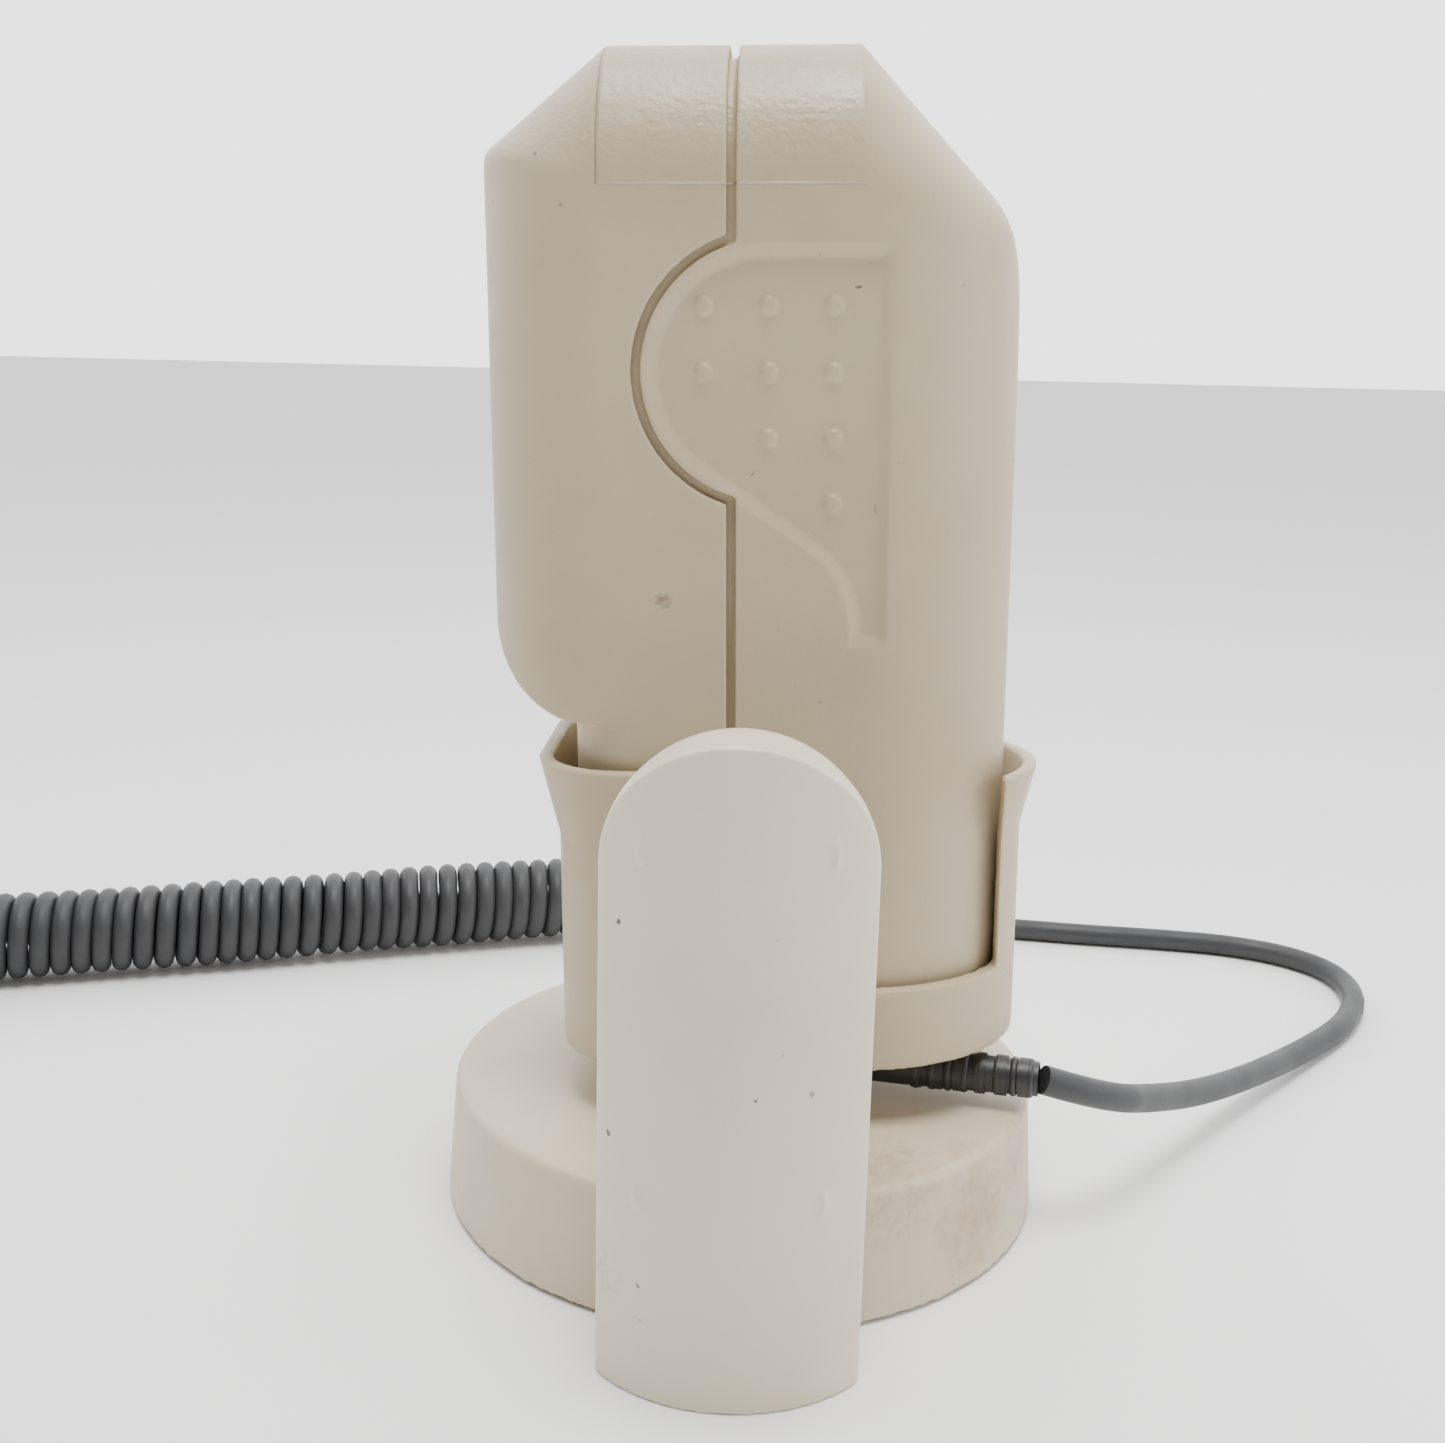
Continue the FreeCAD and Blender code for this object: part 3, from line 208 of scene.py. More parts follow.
def curl(line):
    """Helix points round a line, a strand apart from turn to turn, and the number of turns."""
    total = length_of(line)
    turns = round(total / TURN_PITCH)
    steps = turns * STEPS_A_TURN
    made = []
    span, walked = 0, 0.0
    for step in range(steps + 1):
        share = step / steps
        wobble = 0.12 * math.sin(9.0 * share + 1.0) + 0.08 * math.sin(37.0 * share)
        drift = wobble * TURN_PITCH / total * 3 * share * (1 - share)
        reach = total * min(1.0, max(0.0, share + drift))
        while span < len(line) - 2 and walked + (line[span + 1] - line[span]).length < reach:
            walked += (line[span + 1] - line[span]).length
            span += 1
        along = (line[span + 1] - line[span]).normalized()
        centre = line[span] + along * (reach - walked)
        side = along.cross(Vector((0, 0, 1))).normalized()
        up = side.cross(along)
        out = min(1.0, step / STEPS_A_TURN / WIND_OUT, (steps - step) / STEPS_A_TURN / WIND_OUT)
        width = (COIL_RADIUS - STRAND_RADIUS) * (0.985 + 0.015 * math.sin(23.0 * share))
        width *= math.sin(out * math.pi / 2)
        angle = step / STEPS_A_TURN * 2 * math.pi
        made.append(centre + side * (width * math.cos(angle)) + up * (width * math.sin(angle)))
    return made, turns


coil_route = smooth_curve("coil_route", metres([COIL_START, *COIL_POINTS, COIL_END]), 24)
coil_points, coil_turns = curl(line_of(coil_route))
curly_controls = [*coil_points, *metres(TAIL_POINTS), Vector(PLUG_START) * MM]
curly_route = smooth_curve("curly_route", curly_controls, 3)
for control, _ in zip(curly_route.data.splines[0].points, coil_points):
    control.radius = STRAND_RADIUS / LEAD_RADIUS
curly_line = line_of(curly_route)
curly_flex = tube_along("curly_flex", curly_route, LEAD_RADIUS, 4)
print("curly stretch:", coil_turns, "turns,", round(length_of(curly_line), 3), "m with its tail")

# %% [markdown]
# Every plastic here starts from the same recipe: a base colour that drifts a little, yellowed patches,
# a few dark specks, and a fine moulded grain that only the light sees. That recipe is a node group, so
# each material places it with its own numbers.


# %% Node helpers
def new_group(name, inputs, outputs):
    """An empty shader node group with its input and output nodes."""
    tree = bpy.data.node_groups.new(name, "ShaderNodeTree")
    for label, kind, value in inputs:
        socket = tree.interface.new_socket(label, in_out="INPUT", socket_type=kind)
        socket.default_value = value
    for label, kind in outputs:
        tree.interface.new_socket(label, in_out="OUTPUT", socket_type=kind)
    return tree, tree.nodes.new("NodeGroupInput"), tree.nodes.new("NodeGroupOutput")


def noise(tree, where, scale, detail):
    """The value of a noise texture at this scale and detail."""
    node = tree.nodes.new("ShaderNodeTexNoise")
    node.inputs["Scale"].default_value = scale
    node.inputs["Detail"].default_value = detail
    node.inputs["Roughness"].default_value = 0.55
    tree.links.new(where, node.inputs["Vector"])
    return node.outputs["Fac"]


def spread_out(tree, value, low, high, to_low=0.0, to_high=1.0):
    """Maps low..high of a value to to_low..to_high, clamped."""
    node = tree.nodes.new("ShaderNodeMapRange")
    node.inputs["From Min"].default_value = low
    node.inputs["From Max"].default_value = high
    node.inputs["To Min"].default_value = to_low
    node.inputs["To Max"].default_value = to_high
    tree.links.new(value, node.inputs["Value"])
    return node.outputs["Result"]


def maths(tree, operation, first, second=0.0):
    """A Math node. The second value stays at 0 for the operations that take only one."""
    node = tree.nodes.new("ShaderNodeMath")
    node.operation = operation
    for socket, value in zip(node.inputs, (first, second)):
        if isinstance(value, (int, float)):
            socket.default_value = value
        else:
            tree.links.new(value, socket)
    return node.outputs[0]


def blend_colour(tree, share, under, over):
    """A colour that goes from under to over as share goes from 0 to 1."""
    node = tree.nodes.new("ShaderNodeMix")
    node.data_type = "RGBA"
    tree.links.new(share, node.inputs["Factor"])
    for socket, value in zip((node.inputs[6], node.inputs[7]), (under, over)):
        if isinstance(value, tuple):
            socket.default_value = value
        else:
            tree.links.new(value, socket)
    return node.outputs[2]


# %% [markdown]
# The aged plastic group. Large soft noise gives the yellowing, a middle one makes the roughness drift,
# and a high threshold on fine noise leaves single specks. The grain goes out as a height.


# %% Aged plastic group
SPECK_BROWN = (0.13, 0.10, 0.07, 1)


def aged_plastic_group():
    """The shared recipe: base colour, yellowing, specks, roughness and grain."""
    tree, gin, gout = new_group(
        "aged_plastic",
        [
            ("Colour", "NodeSocketColor", (0.7, 0.64, 0.52, 1)),
            ("Yellowed", "NodeSocketColor", (0.6, 0.5, 0.34, 1)),
            ("Yellowing", "NodeSocketFloat", 0.3),
            ("Specks", "NodeSocketFloat", 0.5),
            ("Dullness", "NodeSocketFloat", 0.5),
            ("Grain Size", "NodeSocketFloat", 1400.0),
        ],
        [("Colour", "NodeSocketColor"), ("Roughness", "NodeSocketFloat"), ("Height", "NodeSocketFloat")],
    )
    where = tree.nodes.new("ShaderNodeTexCoord").outputs["Object"]
    patches = spread_out(tree, noise(tree, where, 22.0, 4.0), 0.42, 0.72)
    patches = maths(tree, "MULTIPLY", patches, gin.outputs["Yellowing"])
    colour = blend_colour(tree, patches, gin.outputs["Colour"], gin.outputs["Yellowed"])
    specks = spread_out(tree, noise(tree, where, 330.0, 1.0), 0.765, 0.79)
    thin = spread_out(tree, noise(tree, where, 60.0, 1.0), 0.5, 0.6)
    specks = maths(tree, "MULTIPLY", maths(tree, "MULTIPLY", specks, thin), gin.outputs["Specks"])
    colour = blend_colour(tree, specks, colour, SPECK_BROWN)
    tree.links.new(colour, gout.inputs["Colour"])
    rubbed = spread_out(tree, noise(tree, where, 75.0, 5.0), 0.35, 0.7, -0.07, 0.08)
    tree.links.new(maths(tree, "ADD", gin.outputs["Dullness"], rubbed), gout.inputs["Roughness"])
    grain = tree.nodes.new("ShaderNodeTexNoise")
    grain.inputs["Detail"].default_value = 2.0
    tree.links.new(where, grain.inputs["Vector"])
    tree.links.new(gin.outputs["Grain Size"], grain.inputs["Scale"])
    tree.links.new(grain.outputs["Fac"], gout.inputs["Height"])
    return tree


AGED_PLASTIC = aged_plastic_group()
print("group:", AGED_PLASTIC.name, "with", len(AGED_PLASTIC.nodes), "nodes")

# %% [markdown]
# A stain sits in one place: a soft ball round a point, its edge broken by noise. Handling dirt, rust
# and scuffs are all the same group with another colour, place and size.


# %% Stain group
def distance_to(tree, where, place):
    """How far each point of the surface is from the place that a socket gives."""
    apart = tree.nodes.new("ShaderNodeVectorMath")
    apart.operation = "DISTANCE"
    tree.links.new(where, apart.inputs[0])
    tree.links.new(place, apart.inputs[1])
    return apart.outputs["Value"]


def stain_group():
    """One ragged patch of another colour round a place."""
    tree, gin, gout = new_group(
        "stain",
        [
            ("Under", "NodeSocketColor", (0.7, 0.64, 0.52, 1)),
            ("Stain", "NodeSocketColor", (0.3, 0.14, 0.05, 1)),
            ("Place", "NodeSocketVector", (0, 0, 0)),
            ("Reach", "NodeSocketFloat", 0.01),
            ("Strength", "NodeSocketFloat", 0.6),
            ("Breakup", "NodeSocketFloat", 300.0),
        ],
        [("Colour", "NodeSocketColor")],
    )
    where = tree.nodes.new("ShaderNodeTexCoord").outputs["Object"]
    apart = distance_to(tree, where, gin.outputs["Place"])
    near = maths(tree, "SUBTRACT", 1.0, maths(tree, "DIVIDE", apart, gin.outputs["Reach"]))
    ragged = tree.nodes.new("ShaderNodeTexNoise")
    ragged.inputs["Detail"].default_value = 5.0
    tree.links.new(where, ragged.inputs["Vector"])
    tree.links.new(gin.outputs["Breakup"], ragged.inputs["Scale"])
    broken = spread_out(tree, ragged.outputs["Fac"], 0.3, 0.75, -0.45, 0.45)
    share = spread_out(tree, maths(tree, "ADD", near, broken), 0.0, 1.0)
    share = maths(tree, "MULTIPLY", share, gin.outputs["Strength"])
    share = maths(tree, "MULTIPLY", share, spread_out(tree, near, 0.0, 0.25))
    colour = blend_colour(tree, share, gin.outputs["Under"], gin.outputs["Stain"])
    tree.links.new(colour, gout.inputs["Colour"])
    return tree


STAIN = stain_group()
print("group:", STAIN.name, "with", len(STAIN.nodes), "nodes")

# %% [markdown]
# The casing's mould has left its own marks: one thin raised line runs down from the top and another
# crosses the front above the lobe, and above that line the plastic is coarser. The group works in the
# upright drawing, so it first turns each point back by the lean.


# %% Mould marks group
def thin_line(tree, value, at, half_width):
    """1 where the value equals what the socket at gives, falling to 0 on both sides."""
    off = maths(tree, "ABSOLUTE", maths(tree, "SUBTRACT", value, at))
    return spread_out(tree, maths(tree, "DIVIDE", off, half_width), 0.0, 1.0, 1.0, 0.0)


RIDGE_END = 0.0225
SADDLE_LOW, SADDLE_FULL = 0.217, 0.224
SADDLE_SIDE_FULL, SADDLE_SIDE_END = 0.020, 0.024
LINE_RISE = 2.0
GRAIN_SHARE = 0.25


def mould_marks_group():
    """Raised lines and coarse saddle grain, added to the fine grain as one height."""
    tree, gin, gout = new_group(
        "mould_marks",
        [
            ("Grain", "NodeSocketFloat", 0.5),
            ("Crossing Height", "NodeSocketFloat", 0.216),
            ("Line Across", "NodeSocketFloat", -0.028),
            ("Line Width", "NodeSocketFloat", 0.0004),
            ("Peel", "NodeSocketFloat", 1.0),
        ],
        [("Height", "NodeSocketFloat")],
    )
    where = tree.nodes.new("ShaderNodeTexCoord").outputs["Object"]
    turned = tree.nodes.new("ShaderNodeVectorRotate")
    turned.rotation_type = "Y_AXIS"
    turned.inputs["Center"].default_value = (0, 0, PIVOT_HEIGHT)
    turned.inputs["Angle"].default_value = math.radians(LEAN_DEGREES)
    tree.links.new(where, turned.inputs["Vector"])
    apart = tree.nodes.new("ShaderNodeSeparateXYZ")
    tree.links.new(turned.outputs[0], apart.inputs[0])
    across, height = apart.outputs["X"], apart.outputs["Z"]
    above = maths(tree, "GREATER_THAN", height, gin.outputs["Crossing Height"])
    down = thin_line(tree, across, gin.outputs["Line Across"], gin.outputs["Line Width"])
    down = maths(tree, "MULTIPLY", down, above)
    level = thin_line(tree, height, gin.outputs["Crossing Height"], gin.outputs["Line Width"])
    beyond = maths(tree, "GREATER_THAN", across, gin.outputs["Line Across"])
    short_of = maths(tree, "LESS_THAN", across, RIDGE_END)
    level = maths(tree, "MULTIPLY", maths(tree, "MULTIPLY", level, beyond), short_of)
    lines = maths(tree, "MAXIMUM", down, level)
    coarse = noise(tree, where, 620.0, 1.5)
    saddle = spread_out(tree, height, SADDLE_LOW, SADDLE_FULL)
    inwards = spread_out(tree, across, SADDLE_SIDE_END, SADDLE_SIDE_FULL)
    saddle = maths(tree, "MULTIPLY", saddle, inwards)
    peel = maths(tree, "MULTIPLY", maths(tree, "MULTIPLY", coarse, saddle), gin.outputs["Peel"])
    fine = maths(tree, "MULTIPLY", gin.outputs["Grain"], GRAIN_SHARE)
    raised = maths(tree, "MULTIPLY", lines, LINE_RISE)
    total = maths(tree, "ADD", maths(tree, "ADD", fine, peel), raised)
    tree.links.new(total, gout.inputs["Height"])
    return tree


MOULD_MARKS = mould_marks_group()
print("group:", MOULD_MARKS.name, "with", len(MOULD_MARKS.nodes), "nodes")

# %% [markdown]
# A material is a Principled shader with groups placed before it. A stain goes in between the colour so
# far and the shader, and the mould marks between the grain and the bump.


# %% Material helpers
def new_material(name):
    """A material with an empty Principled shader, and the shader."""
    material = bpy.data.materials.new(name)
    material.use_nodes = True
    return material, material.node_tree, material.node_tree.nodes["Principled BSDF"]


def place_group(tree, group):
    """A node that uses the shared group in this material."""
    node = tree.nodes.new("ShaderNodeGroup")
    node.node_tree = group
    return node


def bump_from(tree, shader, height, distance):
    """Lets a height bend the light, without moving the surface."""
    node = tree.nodes.new("ShaderNodeBump")
    node.inputs["Distance"].default_value = distance
    node.inputs["Strength"].default_value = 1.0
    tree.links.new(height, node.inputs["Height"])
    tree.links.new(node.outputs["Normal"], shader.inputs["Normal"])


def aged_material(name, colour, yellowed, yellowing, specks, dullness, grain_size, grain_depth):
    """A plastic or rubber made with the aged plastic group."""
    material, tree, shader = new_material(name)
    group = place_group(tree, AGED_PLASTIC)
    group.inputs["Colour"].default_value = (*colour, 1)
    group.inputs["Yellowed"].default_value = (*yellowed, 1)
    group.inputs["Yellowing"].default_value = yellowing
    group.inputs["Specks"].default_value = specks
    group.inputs["Dullness"].default_value = dullness
    group.inputs["Grain Size"].default_value = grain_size
    tree.links.new(group.outputs["Colour"], shader.inputs["Base Color"])
    tree.links.new(group.outputs["Roughness"], shader.inputs["Roughness"])
    bump_from(tree, shader, group.outputs["Height"], grain_depth)
    return material


def add_stain(material, colour, place, reach, strength, breakup):
    """Puts a stain over whatever colour the material has so far."""
    tree = material.node_tree
    base = tree.nodes["Principled BSDF"].inputs["Base Color"]
    group = place_group(tree, STAIN)
    tree.links.new(base.links[0].from_socket, group.inputs["Under"])
    group.inputs["Stain"].default_value = (*colour, 1)
    group.inputs["Place"].default_value = Vector(place) * MM
    group.inputs["Reach"].default_value = reach * MM
    group.inputs["Strength"].default_value = strength
    group.inputs["Breakup"].default_value = breakup
    tree.links.new(group.outputs["Colour"], base)


def add_mould_marks(material, depth):
    """Puts the mould marks over the grain of a casing half."""
    tree = material.node_tree
    bump = tree.nodes["Bump"]
    group = place_group(tree, MOULD_MARKS)
    tree.links.new(bump.inputs["Height"].links[0].from_socket, group.inputs["Grain"])
    tree.links.new(group.outputs["Height"], bump.inputs["Height"])
    bump.inputs["Distance"].default_value = depth


print("material helpers ready")

# %% [markdown]
# Metals want the opposite: no specks, a colour of their own, and a roughness that drifts with it.

# %% Metals and the table of finishes
METAL_GRAIN_DEPTH = 0.00002
SMEARED_SHADE = 0.72


def metal_material(name, colour, roughness):
    """A bare metal, a little darker and rougher where it is smeared."""
    material, tree, shader = new_material(name)
    where = tree.nodes.new("ShaderNodeTexCoord").outputs["Object"]
    smear = noise(tree, where, 260.0, 6.0)
    shader.inputs["Metallic"].default_value = 1.0
    dark = (*[c * SMEARED_SHADE for c in colour], 1)
    tint = blend_colour(tree, spread_out(tree, smear, 0.3, 0.8), (*colour, 1), dark)
    tree.links.new(tint, shader.inputs["Base Color"])
    rough = spread_out(tree, smear, 0.3, 0.7, roughness - 0.08, roughness + 0.12)
    tree.links.new(rough, shader.inputs["Roughness"])
    bump_from(tree, shader, noise(tree, where, 1900.0, 2.0), METAL_GRAIN_DEPTH)
    return material


# CREAM is the casing front's colour as it looks in shade: painted shade in the base colour
CREAM = (0.50, 0.415, 0.275)
CREAM_OLD = (0.37, 0.275, 0.155)
PALE_OLD = (0.54, 0.44, 0.28)
WHITE_OLD = (0.60, 0.58, 0.50)
BLACK_DUST = (0.05, 0.05, 0.05)
CAST_BLACK = (0.022, 0.022, 0.024)
SHEATH = (0.030, 0.031, 0.034)
SHEATH_RUBBED = (0.055, 0.055, 0.055)
PLUG_GREY = (0.055, 0.056, 0.06)
PLUG_RUBBED = (0.09, 0.09, 0.09)

# name, colour, its aged colour, yellowing, specks, dullness, grain size, grain depth in metres
PLASTICS = {
    "beige_plastic": ("cream_casing", CREAM, CREAM_OLD, 0.35, 0.8, 0.46, 1500.0, 0.00004),
    "grille_plastic": ("cream_grille", (0.56, 0.50, 0.38), CREAM_OLD, 0.3, 0.5, 0.5, 1500.0, 0.00003),
    "frame_plastic": ("cream_frame", (0.60, 0.54, 0.42), CREAM_OLD, 0.35, 0.6, 0.55, 900.0, 0.00005),
    "fan_plastic": ("black_fan", (0.03, 0.03, 0.03), BLACK_DUST, 0.3, 0.1, 0.45, 1200.0, 0.00003),
    "bush_plastic": ("white_bush", (0.75, 0.75, 0.72), WHITE_OLD, 0.2, 0.1, 0.35, 1200.0, 0.00002),
    "guard_plastic": ("black_guard", CAST_BLACK, BLACK_DUST, 0.3, 0.1, 0.5, 1100.0, 0.00003),
    "lead_sheath": ("grey_sheath", SHEATH, SHEATH_RUBBED, 0.3, 0.2, 0.55, 900.0, 0.00004),
    "plug_plastic": ("grey_plug", PLUG_GREY, PLUG_RUBBED, 0.2, 0.2, 0.45, 1300.0, 0.00003),
    "terminal_plastic": ("white_terminal", (0.7, 0.7, 0.66), CREAM_OLD, 0.2, 0.1, 0.4, 1200.0, 0.00002),
    "capacitor_plastic": ("yellow_film", (0.6, 0.4, 0.06), (0.5, 0.3, 0.05), 0.2, 0.1, 0.4, 1200.0, 0.00002),
    "circuit_board": ("brown_board", (0.22, 0.12, 0.04), (0.12, 0.07, 0.03), 0.4, 0.3, 0.5, 900.0, 0.00003),
    "mica_board": ("mica_board", (0.46, 0.40, 0.30), (0.30, 0.22, 0.12), 0.6, 0.6, 0.4, 500.0, 0.00006),
    "filter_mesh": ("grey_mesh", (0.09, 0.09, 0.09), (0.16, 0.15, 0.13), 0.6, 0.3, 0.7, 2200.0, 0.00005),
    "black_rubber": ("black_rubber", (0.02, 0.02, 0.02), BLACK_DUST, 0.4, 0.2, 0.75, 700.0, 0.00008),
}
METALS = {
    "zinc_steel": ((0.62, 0.62, 0.60), 0.38),
    "spring_steel": ((0.50, 0.50, 0.50), 0.28),
    "screw_steel": ((0.55, 0.55, 0.54), 0.32),
    "cast_iron": ((0.18, 0.18, 0.18), 0.62),
    "bronze": ((0.55, 0.33, 0.14), 0.36),
    "brass_pins": ((0.76, 0.60, 0.28), 0.26),
    "heating_wire": ((0.35, 0.33, 0.31), 0.42),
    "fuse_metal": ((0.66, 0.64, 0.60), 0.30),
}
FINISHES = {slot: aged_material(*recipe) for slot, recipe in PLASTICS.items()}
FINISHES.update({slot: metal_material(slot, *recipe) for slot, recipe in METALS.items()})
print("finishes:", len(FINISHES))

# %% [markdown]
# The large mouldings are all cream, and each has aged in its own way. The casing halves carry the mould
# marks and the dirt of the hand. The cream of the casing and cup is the casing front as it looks in
# shade, so their colour holds painted shade. The upright is painted palest, as a lit copy of that cream:
# painted light. The base has rusty patches on its right. Each stain's place and reach are in
# millimetres, in the frame's own drawing.

# %% Finishes of the large mouldings
DIRT = (0.20, 0.145, 0.085)
RUST = (0.30, 0.14, 0.05)
# the upright's cream, painted paler than the casing as a lit copy of it: painted light
LIT_UPRIGHT_CREAM = (0.72, 0.645, 0.49)
BASE_CREAM = (0.60, 0.52, 0.37)
MOULD_MARK_DEPTH = 0.00022

# name, colour, its aged colour, yellowing, specks, dullness, grain size, grain depth in metres
casing_finish = aged_material("aged_casing", CREAM, CREAM_OLD, 0.35, 0.9, 0.44, 1500.0, 0.00004)
cup_finish = aged_material("aged_cup", CREAM, CREAM_OLD, 0.40, 0.8, 0.46, 1400.0, 0.00004)
lit_upright_finish = aged_material("aged_lit_upright", LIT_UPRIGHT_CREAM, PALE_OLD, 0.25, 1.0, 0.42, 1400.0, 0.00004)
base_finish = aged_material("aged_base", BASE_CREAM, PALE_OLD, 0.35, 1.0, 0.44, 1300.0, 0.00004)
add_mould_marks(casing_finish, MOULD_MARK_DEPTH)

# finish, colour, place, reach, strength, breakup
STAINS = (
    (casing_finish, DIRT, (-17.6, -27.0, 137.0), 2.2, 0.85, 900.0),
    (casing_finish, DIRT, (44.0, -20.0, 186.0), 1.6, 0.7, 1400.0),
    (cup_finish, DIRT, (26.0, -32.0, 92.0), 16.0, 0.45, 350.0),
    (lit_upright_finish, DIRT, (-18.0, -73.0, 22.0), 12.0, 0.45, 700.0),
    (lit_upright_finish, DIRT, (-20.0, -70.0, 48.0), 7.0, 0.35, 900.0),
    (base_finish, RUST, (48.0, -40.0, 15.0), 16.0, 0.55, 260.0),
    (base_finish, RUST, (57.0, -25.0, 20.0), 10.0, 0.4, 380.0),
    (base_finish, DIRT, (28.0, -48.0, 26.0), 16.0, 0.45, 500.0),
)
for stain in STAINS:
    add_stain(*stain)

MOULDING_FINISH = {
    "left_shell": casing_finish,
    "right_shell": casing_finish,
    "holder_cup": cup_finish,
    "upright_cover": lit_upright_finish,
    "base_shell": base_finish,
}
print("stained mouldings:", len(MOULDING_FINISH), "with", len(STAINS), "stains")

# %% [markdown]
# Each CAD part says in the record which slot it takes its finish from, so one loop dresses them all.

# %% Dress the CAD parts
SLOT_OF = {part["node"]: part["material_slot"] for part in frame["record"]["subparts"]}


def dress(piece, slot, finish=None):
    """Gives a piece the finish of a material slot, or one of its own."""
    piece.data.materials.clear()
    piece.data.materials.append(finish or FINISHES[slot])


for name, part in frame["nodes"].items():
    dress(part, SLOT_OF[name])
print("dressed", len(SLOT_OF), "parts")

# %% [markdown]
# These flexes stand for the plain tubes of the frame. The lead's first stretch would follow the cup
# when it tilts; here it is baked where it lies. The curly stretch stays on the table.

dress(lead_flex, "lead_sheath")
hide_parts("cord_lead")
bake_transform(lead_flex)
dress(curly_flex, "lead_sheath")
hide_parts("cord_coil", "cord_tail")
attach(curly_flex, "stand")
print("flexes declared:", lead_flex.name, curly_flex.name)

# %% [markdown]
# Between the cup's floor and the dryer a short neck of the same lead shows when the dryer is lifted out.
# It is drawn straight, at rest.

# %% The neck of the lead
NECK_STEPS = 12
NECK_START = LEAN @ (Vector((18.0, -8.5, 42.9)) * MM)
NECK_END = LEAN @ (Vector((18.0, -8.5, 54.0)) * MM)
neck_line = [NECK_START.lerp(NECK_END, step / NECK_STEPS) for step in range(NECK_STEPS + 1)]
neck_route = smooth_curve("neck_route", neck_line, 2)
neck_flex = tube_along("neck_flex", neck_route, LEAD_RADIUS)
dress(neck_flex, "lead_sheath")
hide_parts("cord_neck")
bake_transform(neck_flex)
print("neck:", round((NECK_END - NECK_START).length / MM, 1), "mm at rest")

# %% [markdown]
# Two pieces follow a rule, so Geometry Nodes make them. The lint filter behind the inlet is a weave:
# a row of wires, each as long as the circle is wide there, and the same row turned a quarter. The
# strain relief has rings that shrink towards its tip.


# %% Helpers for made meshes
def applied(helper):
    """The mesh that an object's modifiers make. The object is removed."""
    graph = bpy.context.evaluated_depsgraph_get()
    made = bpy.data.meshes.new_from_object(helper.evaluated_get(graph))
    bpy.data.objects.remove(helper)
    return made


def helper_for(mesh):
    """An object in the scene that carries a mesh while its modifiers work."""
    helper = bpy.data.objects.new(mesh.name, mesh)
    bpy.context.scene.collection.objects.link(helper)
    return helper


print("helpers ready")


# %% Geometry Nodes helpers
def new_geometry_tree(name, inputs):
    """A geometry tree with named inputs. Instances given to its end are realized and painted.

    Gives back the tree, its input node, the socket of its end, and each input's identifier.
    """
    tree = bpy.data.node_groups.new(name, "GeometryNodeTree")
    sockets = {}
    for label, kind, value in inputs:
        socket = tree.interface.new_socket(label, in_out="INPUT", socket_type=kind)
        if value is not None:
            socket.default_value = value
        sockets[label] = socket.identifier
    tree.interface.new_socket("Geometry", in_out="OUTPUT", socket_type="NodeSocketGeometry")
    gin = tree.nodes.new("NodeGroupInput")
    gout = tree.nodes.new("NodeGroupOutput")
    realize = tree.nodes.new("GeometryNodeRealizeInstances")
    paint = tree.nodes.new("GeometryNodeSetMaterial")
    tree.links.new(realize.outputs[0], paint.inputs["Geometry"])
    tree.links.new(gin.outputs["Material"], paint.inputs["Material"])
    tree.links.new(paint.outputs[0], gout.inputs["Geometry"])
    return tree, gin, realize.inputs[0], sockets


def made_by(name, tree, sockets, values):
    """Runs a geometry tree with these input values and keeps the plain mesh."""
    helper = helper_for(bpy.data.meshes.new(name))
    modifier = helper.modifiers.new("nodes", "NODES")
    modifier.node_group = tree
    for label, value in values.items():
        modifier[sockets[label]] = value
    mesh = applied(helper)
    mesh.name = name
    piece = bpy.data.objects.new(name, mesh)
    bpy.context.scene.collection.objects.link(piece)
    print(name, len(mesh.polygons), "faces")
    return piece


print("geometry helpers ready")


# %% Weave of the lint filter
WEAVE_INSET = 0.985
LAYER_GAP = 1.4


